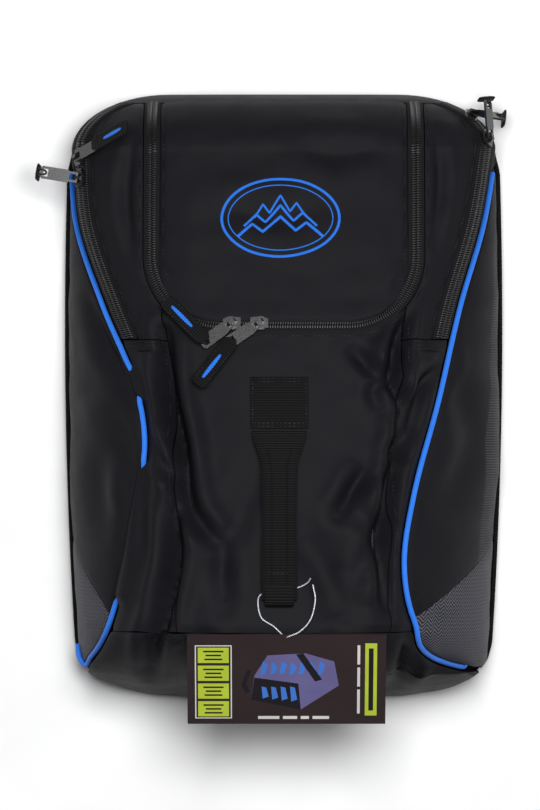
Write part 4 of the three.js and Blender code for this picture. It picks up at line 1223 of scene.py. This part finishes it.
# ---------------------------------------------------------------- zips
def tape_and_coil(shape, line, toward, body_width, lift, pitch, chain=4.4):
    """A zip's half: a tape from the middle line outwards, and coil turns beside the line.
    line(t, outside) gives plan points at a distance outside the zip's middle line."""
    run = np.linspace(0, 1, 900)
    points = on_skin(*line(run, toward * 0.4), 0 * run + lift)
    along = np.concatenate([[0], np.cumsum(np.linalg.norm(np.diff(points, axis=0), axis=1))])
    rows = np.interp(np.linspace(0, along[-1], max(30, int(along[-1] / 2.6))), along, run)
    wide = np.linspace(0.2, body_width, 7)
    t, out = np.meshgrid(rows, wide, indexing="ij")
    x, y = line(t, toward * out)
    crown = 0.25 * np.cos(out / body_width * np.pi * 0.5) - 0.35 * (out > body_width - 0.8)
    top = on_skin(x, y, lift + crown)
    low = on_skin(x, y, lift + crown - 0.9)
    length = np.interp(t, run, along)
    places = np.stack([out * MM, length * MM], -1)
    if np.cross(top[1, 3] - top[0, 3], top[1, 4] - top[1, 3])[2] > 0:
        shape.sheet(top[:, ::-1], low[:, ::-1], places[:, ::-1])
    else:
        shape.sheet(top, low, places)
    for at in np.arange(pitch / 2 + (0 if toward > 0 else pitch / 2), along[-1] - 1, pitch):
        place = float(np.interp(at, along, run))
        ends = np.array([0.1, 0.5, 1.6, 3.0, chain - 0.4, chain])
        px, py = line(np.full(6, place), toward * ends)
        rise = lift + 0.25 + np.array([0.1, 0.75, 1.0, 0.95, 0.6, 0.0])
        spine = on_skin(px, py, rise)
        tube(shape, spine, np.array([0.5, 0.72, 0.72, 0.68, 0.6, 0.4]), 6, 1, up=skin_normal(px, py))


def boot_line(sign):
    def line(t, outside):
        y = lerp(FLAP_Y + 2 * SEAM_GAP, TOP_SEAM_Y - SEAM_GAP, t)
        middle = boot_zip_x(sign, y)
        limit = np.where(y > FLAP_END_Y, rim_x(y) - 0.3, beside_piping(sign, y, 1))
        return sign * np.minimum(middle + outside, limit), y

    return line


class BAG_OT_zips(bpy.types.Operator):
    """Zip tapes with their coils: one round the lid and one along each boot pocket"""

    bl_idname = "bag.zips"
    bl_label = "Zips"

    def execute(self, context):
        pitch = sizes().coil_pitch / MM
        finishes = [MATERIALS["zip_tape"], MATERIALS["coil"]]
        half = ZIP_WIDTH / 2
        lift = -0.35

        def lid_line(t, outside):
            return lid_edge(t, half + outside)

        for name, toward, body in (("inner", -1, "lid"), ("outer", 1, "shell")):
            shape = Shape()
            tape_and_coil(shape, lid_line, toward, half - 0.1, lift, pitch)
            settle(shape.made(f"lid_zip_tape_{name}", finishes), body, [f"lid_zip_{name}"])
        for name, sign in SIDES.items():
            shape = Shape()
            tape_and_coil(shape, boot_line(sign), -1, half - 0.1, lift, pitch)
            inner = shape.made(f"boot_zip_tape_inner_{name}", finishes)
            settle(inner, "shell", [f"boot_zip_inner_{name}"])
            shape = Shape()
            tape_and_coil(shape, boot_line(sign), 1, half + 0.6, lift, pitch)
            outer_tip(shape, sign)
            tape = shape.made(f"boot_zip_tape_outer_{name}", finishes)
            settle_between(
                tape, [f"boot_zip_outer_{name}"]
            )
        return {"FINISHED"}


def outer_tip(shape, sign):
    """Past the side flap the outer tape widens down to the rim."""
    half_width = ZIP_WIDTH / 2 + 0.2

    def plan(a, b):
        y = lerp(FLAP_END_Y - 2, TOP_SEAM_Y - SEAM_GAP, b)
        inner = boot_zip_x(sign, y) + half_width
        past = share_of(y, FLAP_END_Y, FLAP_END_Y + 10)
        outer = lerp(beside_piping(sign, y, 1), rim_x(y), past)
        return sign * lerp(np.minimum(inner, outer - 0.5), outer, 1 - (1 - a) ** 2), y

    cloth_panel(shape, plan, (10, 36), (0.4, 0.1, 0.2, 0.2), 2.2, relief=0.0)


# ---------------------------------------------------------------- piping
class BAG_OT_piping(bpy.types.Operator):
    """The blue piping along each side panel, and the black binding round the rear rim"""

    bl_idname = "bag.piping"
    bl_label = "Piping"

    def execute(self, context):
        radius = sizes().piping / MM / 2
        for name, sign in SIDES.items():
            y = np.linspace(TIP_BASE + 6, FLAP_END_Y + 1, 240)
            x = sign * piping_x(sign, y)
            under = -2.6 * over_piping(sign, y)
            points = on_skin(x, y, 0.6 + under)
            turn = points[0] + np.array([(4 * sign, 3, -4), (7 * sign, 9, -7), (7.5 * sign, 18, -9)])
            points = along_line(np.vstack([turn[::-1], points[::4], points[-1:]]), 1.6)
            shape = Shape()
            tube(shape, points, radius, 14, up=skin_normal(points[:, 0], points[:, 1]))
            cord = shape.made(f"piping_cord_{name}", [MATERIALS["piping"]])
            settle_between(
                cord,
                [f"piping_front_{name}", f"piping_flap_{name}"],
            )  # fmt: skip
            y = np.linspace(TIP_BASE + 2, TIP_TOP, 200)
            slope = rim_x(y + 0.5) - rim_x(y - 0.5)
            tuck = smooth(np.minimum(y - y[0], y[-1] - y), 0, 26)
            away = unit(np.stack([np.ones_like(slope), -slope], -1))
            away = away * lerp(-2.5, PIPING_GAP - 1.2, tuck)[:, None]
            points = np.stack([sign * (rim_x(y) + away[:, 0]), y + away[:, 1], np.full_like(y, RIM_Z)], -1)
            shape = Shape()
            tube(shape, points, radius, 14)
            binding = shape.made(f"rim_binding_{name}", [MATERIALS["webbing"]])
            settle(binding, "shell", [f"piping_back_{name}"])
        return {"FINISHED"}


# ---------------------------------------------------------------- pulls
PULLS = {
    "lid_left": {"at": (-44, LID_BOTTOM_Y - 7), "puller": 217, "rise": 1, "tab": 135},
    "lid_right": {"at": (-21, LID_BOTTOM_Y - 7), "puller": 214, "rise": 1, "tab": 232},
    "boot_left_upper": {"boot": (-1, 58), "puller": 30, "rise": -4, "tab": 26},
    "boot_left_lower": {"boot": (-1, 76), "puller": 168, "rise": 52},
    "boot_right_lower": {"boot": (1, 42), "puller": 106, "rise": 14},
    "boot_right_upper": {"boot": (1, 23), "puller": 345, "rise": 8},
}
BAR_HEIGHT = (2.9 + 5.5) / 2
EYE, STAND_OFF = 27.0, 0.9 + 0.7 + 1.1
TAB_LENGTH, TAB_WIDTH, TAB_THICKNESS = 50.0, 14.0, 2.2


def in_plane(degrees, normal):
    turn = math.radians(degrees)
    flat = np.array([math.cos(turn), math.sin(turn), 0.0])
    flat[2] = -flat @ normal / normal[2]
    return unit(flat)


def turned(vector, axis, degrees):
    return np.array(Matrix.Rotation(math.radians(degrees), 3, Vector(axis)) @ Vector(vector))


def tab_frame(pull):
    """A pull tab's start, its direction, its upper side, and where its cord passes through the puller."""
    if "boot" in pull:
        sign, from_top = pull["boot"]
        y = TOP_Y - from_top
        x = sign * float(boot_zip_x(sign, y))
    else:
        x, y = pull["at"]
    normal = skin_normal(np.array(float(x)), np.array(float(y)))
    seat = on_skin(float(x), float(y), 1.5)
    bar = seat + normal * BAR_HEIGHT
    flat = in_plane(pull["puller"], normal)
    hinge = np.cross(flat, normal)
    along = turned(flat, hinge, pull["rise"])
    up = turned(normal, hinge, pull["rise"])
    eye = bar + along * EYE
    if "tab" in pull:
        return eye + up * STAND_OFF, in_plane(pull["tab"], up), up, eye, along
    start = bar + along * (32 + STAND_OFF)
    return start, np.array([0, 0, -1.0]), unit(np.array([along[0], along[1], 0])), eye, along


class BAG_OT_pulls(bpy.types.Operator):
    """Zip sliders, pullers and webbing pull tabs"""

    bl_idname = "bag.pulls"
    bl_label = "Zip pulls"

    def execute(self, context):
        for name, pull in PULLS.items():
            for part in ("slider", "puller"):
                dress(f"{name}_{part}", "metal", 0.35)
            settle(tab_piece(name, pull), f"{name}_tab", [f"{name}_tab"])
        return {"FINISHED"}


def tab_piece(name, pull):
    start, along, up, eye, puller_along = tab_frame(pull)
    side = np.cross(up, along)
    shape = Shape()
    run = np.linspace(0, TAB_LENGTH - 0.4, 46)
    half = TAB_WIDTH / 2 * np.minimum(0.5 + 0.5 * np.clip(run / 5, 0, 1) ** 0.6, 1)
    half = half * np.sqrt(np.clip(1 - (np.clip(run - (TAB_LENGTH - 4), 0, 4) / 4.6) ** 2, 0, 1))
    turn = np.linspace(0, 2 * math.pi, 28, endpoint=False)
    across = np.sign(np.cos(turn)) * np.abs(np.cos(turn)) ** 0.35
    thick = np.sign(np.sin(turn)) * np.abs(np.sin(turn)) ** 0.5
    swell = 1.0 - 0.22 * np.exp(-(((run - 9) / 1.2) ** 2)) - 0.22 * np.exp(-(((run - 45) / 1.0) ** 2))
    ring = (
        start
        + run[:, None, None] * along
        + (half[:, None] * across[None])[..., None] * side
        + (TAB_THICKNESS / 2 * swell[:, None] * thick[None])[..., None] * up
    )
    places = np.stack([half[:, None] * across[None], run[:, None] + 0 * across[None]], -1) * MM
    shape.grid(ring, places, 0, around=True)
    stripe = np.linspace(17, 42, 30)
    for face in (1, -1):
        width = 1.7 + 0.35 * np.sin(stripe * 2.4)
        ends = np.sin(np.pi * np.clip((stripe - 16.6) / 25.8, 0, 1)) ** 0.25
        line = start + stripe[:, None] * along + up * face * (TAB_THICKNESS / 2 - 0.05)
        turn8 = np.linspace(0, 2 * math.pi, 8, endpoint=False)
        ring = (
            line[:, None]
            + ((width * ends)[:, None] * np.cos(turn8)[None])[..., None] * side
            + (0.42 * ends[:, None] * np.sin(turn8)[None])[..., None] * up
        )
        places = np.stack([0 * stripe[:, None] + np.cos(turn8) * 1.7, stripe[:, None] + 0 * turn8], -1) * MM
        shape.grid(ring, places, 1, around=True)
        for edge in (-1, 1):
            row = start + np.linspace(7, 44, 60)[:, None] * along + side * edge * 5.4
            row = row + up * face * (TAB_THICKNESS / 2 - 0.05)
            rows = (row, np.broadcast_to(up * face, row.shape))
            stitches(shape, None, slot=2, points=rows, width=0.6, height=0.3)
    hook = eye - start
    if "tab" in pull:
        reach = along * 4
        loop = [
            start + reach + side * 2.2,
            start - along * 1.0 + side * 2.2 - up * 0.3,
            eye + side * 1.6 + puller_along * 0.6 - up * 1.2,
            eye - puller_along * 0.2 - up * 1.9,
            eye - side * 1.6 + puller_along * 0.6 - up * 1.2,
            start - along * 1.0 - side * 2.2 - up * 0.3,
            start + reach - side * 2.2,
        ]
    else:
        loop = [
            start + along * 4 + side * 2.2,
            start - along * 1.5 + side * 2.2,
            eye + side * 1.8 + puller_along * 1.0 + up * 0.6,
            eye - puller_along * 0.3,
            eye - side * 1.8 + puller_along * 1.0 + up * 0.6,
            start - along * 1.5 - side * 2.2,
            start + along * 4 - side * 2.2,
        ]
    tube(shape, along_line(loop, 0.8), 0.85, 8, 2, up=unit(np.cross(hook + 1e-6, side)))
    finishes = [MATERIALS[key] for key in ("webbing", "embroidery", "thread")]
    return shape.made(f"{name}_webbing_tab", finishes)


# ---------------------------------------------------------------- carry handle
def handle_line(count):
    low, high = in_mm("handle_strap")
    y = np.linspace(high[1], low[1], count)
    share = np.clip((HANDLE_START_Y - 1 - y) / (HANDLE_START_Y - 1 - HANDLE_END_Y), 0, 1)
    lift = lerp(4.5, 13.0, 4 * share * (1 - share)) + 1.8
    return np.stack([np.full(count, HANDLE_X), y, skin_z(np.full(count, HANDLE_X), y) + lift], -1)


class BAG_OT_handle(bpy.types.Operator):
    """The folded webbing carry handle and its sewn end"""

    bl_idname = "bag.handle"
    bl_label = "Carry handle"

    def execute(self, context):
        finishes = [MATERIALS["webbing"], MATERIALS["thread"]]
        shape = Shape()
        low, high = in_mm("handle_patch")
        y = np.linspace(low[1] + 0.3, high[1] - 0.3, 50)
        x = np.full_like(y, HANDLE_X)
        line = on_skin(x, y, 0 * y + 1.5)
        ribbon(shape, line, skin_normal(x, y), 49.0, 2.2, columns=15)
        for row in (13.0, 10.5, -24.5, -27.0):
            stitches(shape, [(HANDLE_X - 23, row), (HANDLE_X, row), (HANDLE_X + 23, row)], 2.75, slot=1)
        for edge in (HANDLE_X - 22.5, HANDLE_X + 22.5):
            stitches(shape, [(edge, -26), (edge, -6), (edge, 12)], 2.75, slot=1)
        settle(shape.made("handle_sewn_end", finishes), "shell", ["handle_patch"])

        shape = Shape()
        line = handle_line(120)
        share = np.linspace(0, 1, 120)
        width = lerp(46.0, 29.0, smooth(share, 0.0, 0.22))
        width = width + 1.0 * np.sin(share * 9)
        ribbon(shape, line, (0, 0.16, 1), width, 2.8, columns=15)
        fold = line + np.array([0, 0, 1]) * 1.45
        offset = lerp(12.0, 6.5, smooth(share, 0.0, 0.25))
        for edge in (-1, 1):
            seam = fold[12:] + np.array([1.0, 0, 0]) * edge * offset[12:, None]
            tube(shape, seam, 0.55, 6)
        for at in (100, 112):
            row = line[at] + np.array([0, 0, 1.5]) + np.linspace(-11, 11, 30)[:, None] * np.array([1.0, 0, 0])
            stitches(shape, None, slot=1, points=(row, np.broadcast_to((0, 0.1, 1.0), row.shape)))
        settle(shape.made("handle_webbing", finishes), "handle", ["handle_strap"])

        # the lower end goes through a short folded loop sewn into the front cloth
        shape = Shape()
        end = line[-1]
        keeper = []
        for turn in np.linspace(-0.15, 1.15, 20) * math.pi:
            keeper.append(end + np.array([0, 4 + 9 * math.cos(turn), -1 + 5 * math.sin(turn)]))
        keeper = np.array(keeper)
        cloth_z = skin_z(np.full(len(keeper), HANDLE_X), keeper[:, 1]) + 1.0
        keeper[:, 2] = np.maximum(keeper[:, 2], cloth_z)
        ribbon(shape, keeper, (0, 0.0, 1), 24.0, 1.6, columns=11)
        settle(shape.made("handle_keeper", finishes), "shell", ())
        return {"FINISHED"}


# ---------------------------------------------------------------- sewing and embroidery
class BAG_OT_sewing(bpy.types.Operator):
    """Topstitching along the seams, and a plain embroidered motif on the lid"""

    bl_idname = "bag.sewing"
    bl_label = "Sewing"

    def execute(self, context):
        shape = Shape()
        for sign in (-1, 1):
            for gap in (2.6, 5.4):
                y = FLAP_Y - gap
                xs = (centre_seam_x(y) + 3, piping_x(sign, y) - 6)
                stitches(shape, [(sign * xs[0], y), (sign * (xs[0] + xs[1]) / 2, y), (sign * xs[1], y)])
            ys = np.linspace(BASE_SEAM_Y + 4, FLAP_Y + 14, 12)
            stitches(shape, np.stack([sign * (centre_seam_x(ys) + 2.8), ys], 1))
            ys = np.linspace(FLAP_Y + 8, TOP_SEAM_Y - 6, 14)
            edge = boot_zip_x(sign, ys) - ZIP_WIDTH / 2 - 2.6
            stitches(shape, np.stack([sign * edge, ys], 1))
        for gap in (2.6, 5.4):
            y = BASE_SEAM_Y - gap
            xs = np.linspace(-118, 84, 20)
            stitches(shape, np.stack([xs, np.full(20, y)], 1))
        share = np.linspace(0.01, 0.99, 90)
        x, y = lid_edge(share, ZIP_WIDTH + 3.0)
        stitches(shape, np.stack([x, y], 1))
        settle(shape.made("topstitching", [MATERIALS["thread"]]), "shell", ())

        shape = Shape()
        x, y = lid_edge(share, -3.4)
        stitches(shape, np.stack([x, y], 1), lift=1.2)
        settle(shape.made("lid_topstitching", [MATERIALS["thread"]]), "lid", ())

        shape = Shape()
        centre = np.array([-3.0, 150.0])
        turn = np.linspace(0, 2 * math.pi, 150, endpoint=False)
        ring = centre + np.stack([50 * np.cos(turn), 33 * np.sin(turn)], 1)
        band(shape, ring, 2.6, 0.7, 2.0, closed=True)
        ring = centre + np.stack([44.5 * np.cos(turn), 27.8 * np.sin(turn)], 1)
        band(shape, ring, 1.2, 0.5, 2.0, closed=True)
        for lift_y, scale, width in ((-7, 1.0, 2.8), (2, 0.86, 2.4), (10, 0.62, 2.0)):
            peaks = [(-36, -9), (-24, 2), (-15, -5), (0, 9), (13, -4), (22, 3), (36, -9)]
            line = []
            for (x0, y0), (x1, y1) in zip(peaks, peaks[1:]):
                steps = np.linspace(0, 1, 14, endpoint=False)
                line += [(lerp(x0, x1, t), lerp(y0, y1, t)) for t in steps]
            line.append(peaks[-1])
            path = centre + np.array(line) * (scale, 1.0) + (0, lift_y)
            band(shape, path, width, 0.65, 2.0)
        settle(shape.made("lid_embroidery", [MATERIALS["embroidery"]], 60), "lid", ())
        return {"FINISHED"}


# ---------------------------------------------------------------- back, straps and inside
def outline_points(inset, steps):
    swing = np.sin(np.linspace(-math.pi / 2, math.pi / 2, steps + 1))
    y = swing * (TOP_Y - inset)
    x = rim_x(np.clip(y, BASE_Y, TOP_Y)) - inset
    return x, y


def slab(shape, inset, low, high, steps=90, columns=70, edge=3.0, relief=None, slot=0):
    """A flat pad with rounded edges that follows the bag's outline."""
    x, y = outline_points(inset, steps)
    across = np.sin(np.linspace(-math.pi / 2, math.pi / 2, columns + 1))
    gx, gy = x[:, None] * across[None], np.broadcast_to(y[:, None], (len(y), columns + 1))
    reach = np.minimum(x[:, None] * (1 - np.abs(across[None])), (TOP_Y - inset) - np.abs(gy))
    round_off = np.sqrt(np.clip(1 - (1 - np.clip(reach / edge, 0, 1)) ** 2, 0, 1))
    middle = (low + high) / 2
    half = (high - low) / 2
    top = middle + half * np.maximum(round_off, 0.02)
    bottom = middle - half * np.maximum(round_off, 0.02)
    if relief is not None:
        bottom = bottom + relief(gx, gy)
    places = np.stack([gx, gy], -1) * MM
    shape.sheet(np.stack([gx, gy, top], -1), np.stack([gx, gy, bottom], -1), places, slot)


class BAG_OT_back(bpy.types.Operator):
    """The back panel, its padding, the shoulder straps and the grab loop"""

    bl_idname = "bag.back"
    bl_label = "Back and straps"

    def execute(self, context):
        low, high = in_mm("back_panel")
        shape = Shape()
        slab(shape, 1.5, low[2], high[2])
        settle(shape.made("back_cloth", [MATERIALS["polyester"]]), "shell", ["back_panel"])
        pad_piece()
        for name, sign in SIDES.items():
            strap_pieces(name, sign)
        grab_piece()
        return {"FINISHED"}


def pad_piece():
    """Foam under spacer mesh, with a channel for each shoulder strap and quilted lines across."""
    low, high = in_mm("back_pad")
    channel_low = BASE_Y + PAD_EDGE + CHANNEL_BASE
    top = TOP_Y - PAD_EDGE

    def relief(x, y):
        ax = np.abs(x)
        inside = hump(ax, 34, 106, 3.0) * smooth(y, channel_low - 1, channel_low + 5)
        grab = (1 - smooth(ax, 31, 34)) * smooth(y, top - GRAB_LENGTH - 14, top - GRAB_LENGTH - 8)
        deep = np.maximum(inside, grab)
        quilt = 0
        for row in (-190, -120, -50, 20, 90, 160):
            quilt = quilt + 2.6 * np.exp(-(((y - row - 9 * np.cos(x / 60)) / 4.0) ** 2))
        return np.where(deep > 0.02, deep * 9.3, 0) + quilt * (1 - deep)

    shape = Shape()
    slab(shape, 18.5, low[2], high[2] + 0.2, 150, 130, edge=5.0, relief=relief)
    pad = shape.made("back_padding", [MATERIALS["mesh"]])
    settle(pad, "shell", ["back_pad"])


def strap_pieces(name, sign):
    low, high = in_mm(f"strap_pad_{name}")
    middle = (low + high) / 2
    y = np.linspace(high[1] - 0.5, low[1] + 0.5, 90)
    share = np.linspace(0, 1, 90)
    half = (high[0] - low[0]) / 2 - 0.5
    width = half * np.minimum(1, 0.72 + 0.28 * np.sin(np.pi * np.clip(share * 1.1, 0, 1)))
    turn = np.linspace(0, 2 * math.pi, 40, endpoint=False)
    across = np.sign(np.cos(turn)) * np.abs(np.cos(turn)) ** 0.45
    rise = np.sign(np.sin(turn)) * np.abs(np.sin(turn)) ** 0.7
    ends = np.sqrt(np.clip(np.minimum(share, 1 - share) / 0.035, 0, 1))
    thick = 3.4 * np.maximum(ends, 0.3)
    ring = np.stack(
        [
            middle[0] + width[:, None] * across,
            y[:, None] + 0 * across,
            middle[2] + thick[:, None] * rise * (1 - 0.35 * np.exp(-(((np.abs(across) - 0.8) / 0.06) ** 2))),
        ],
        -1,
    )
    places = np.stack([width[:, None] * across, y[:, None] + 0 * across], -1) * MM
    shape = Shape()
    shape.grid(ring, places, 0, around=True)
    y = np.linspace(high[1] - 8, low[1] + 4, 80)
    line = np.stack([np.full(80, middle[0]), y, np.full(80, low[2] + 0.1)], -1)
    ribbon(shape, line, (0, 0, 1), 24.0, 1.2, 1)
    pad = shape.made(f"shoulder_pad_{name}", [MATERIALS["mesh"], MATERIALS["webbing"]])
    settle(pad, f"strap_{name}", [f"strap_pad_{name}"])

    low, high = in_mm(f"strap_webbing_{name}")
    middle = (low + high) / 2
    shape = Shape()
    line = np.stack([np.full(110, middle[0]), np.linspace(high[1], low[1], 110), np.full(110, middle[2])], -1)
    ribbon(shape, line, (0, 0, 1), high[0] - low[0] - 0.4, high[2] - low[2] - 0.3, columns=11)
    hem = line[-8:] + np.array([0, 0, 0.7])
    ribbon(shape, hem, (0, 0, 1), high[0] - low[0] - 0.6, 1.2, columns=7)
    webbing = shape.made(f"adjuster_webbing_{name}", [MATERIALS["webbing"]])
    settle(webbing, f"adjuster_{name}", [f"strap_webbing_{name}"])
    dress(f"ladder_lock_{name}", "acetal", 0.6, 3)


def grab_piece():
    low, high = in_mm("grab_loop")
    half = (high[0] - low[0]) / 2
    width = 14.0
    z = (low[2] + high[2]) / 2
    reach = half - width / 2
    corner = 16.0
    line = [(-reach, high[1] - 1, z), (-reach, low[1] + width / 2 + corner, z)]
    for turn in np.linspace(0, math.pi / 2, 7)[1:]:
        across, down = 1 - math.cos(turn), 1 - math.sin(turn)
        line.append((-reach + corner * across, low[1] + width / 2 + corner * down, z))
    line += [(-x, y, zz) for x, y, zz in line[::-1]]
    path = along_line(line, 1.5)
    shape = Shape()
    ribbon(shape, path, (0, 0, 1), width - 0.4, 3.0, columns=9)
    settle(shape.made("grab_loop_webbing", [MATERIALS["webbing"]]), "grab_loop", ["grab_loop"])


class BAG_OT_inside(bpy.types.Operator):
    """The pocket walls and the base board"""

    bl_idname = "bag.inside"
    bl_label = "Inside"

    def execute(self, context):
        for name, sign in SIDES.items():
            low, high = in_mm(f"divider_{name}")
            middle = (low[0] + high[0]) / 2
            y = np.linspace(low[1], high[1], 90)
            top = skin_z(np.full_like(y, middle), y) - 8.5
            share = np.linspace(0, 1, 34)
            z = RIM_Z + 0.3 + (top[:, None] - RIM_Z - 0.3) * share[None]
            gy = np.broadcast_to(y[:, None], z.shape)
            sag = 1.6 * slow_waves(gy, z, 60, 11 + sign) * np.sin(np.pi * share)[None] ** 0.7
            sag = np.clip(sag, -2.5, 2.5)
            outer = np.stack([middle + sag + 1.1, gy, z], -1)
            inner = np.stack([middle + sag - 1.1, gy, z], -1)
            shape = Shape()
            shape.sheet(outer, inner, np.stack([gy, z], -1) * MM)
            pocket = shape.made(f"pocket_wall_{name}", [MATERIALS["lining"]])
            settle(pocket, "shell", [f"divider_{name}"])
        dress("base_board", "board")
        return {"FINISHED"}


# ---------------------------------------------------------------- panel and registration
STEPS = (
    BAG_OT_stage, BAG_OT_hang_card, BAG_OT_shell, BAG_OT_zips, BAG_OT_piping, BAG_OT_pulls,
    BAG_OT_handle, BAG_OT_sewing, BAG_OT_back, BAG_OT_inside,
)  # fmt: skip


class BAG_PT_sidebar(bpy.types.Panel):
    bl_idname = "BAG_PT_sidebar"
    bl_label = "Backpack"
    bl_space_type = "VIEW_3D"
    bl_region_type = "UI"
    bl_category = "Backpack"

    def draw(self, context):
        for step in STEPS:
            self.layout.operator(step.bl_idname)
        for group in (sizes(), colours()):
            for name in group.bl_rna.properties.keys():
                if name not in ("rna_type", "name"):
                    self.layout.prop(group, name)


CLASSES = (BagSizes, BagColours, *STEPS, BAG_PT_sidebar)


def register():
    for kind in CLASSES:
        bpy.utils.register_class(kind)
    bpy.types.Scene.bag_sizes = bpy.props.PointerProperty(type=BagSizes)
    bpy.types.Scene.bag_colours = bpy.props.PointerProperty(type=BagColours)


def unregister():
    del bpy.types.Scene.bag_colours
    del bpy.types.Scene.bag_sizes
    for kind in reversed(CLASSES):
        bpy.utils.unregister_class(kind)


def main():
    register()
    for step in STEPS:
        group, name = step.bl_idname.split(".")
        getattr(getattr(bpy.ops, group), name)()


if __name__ == "__main__":
    main()
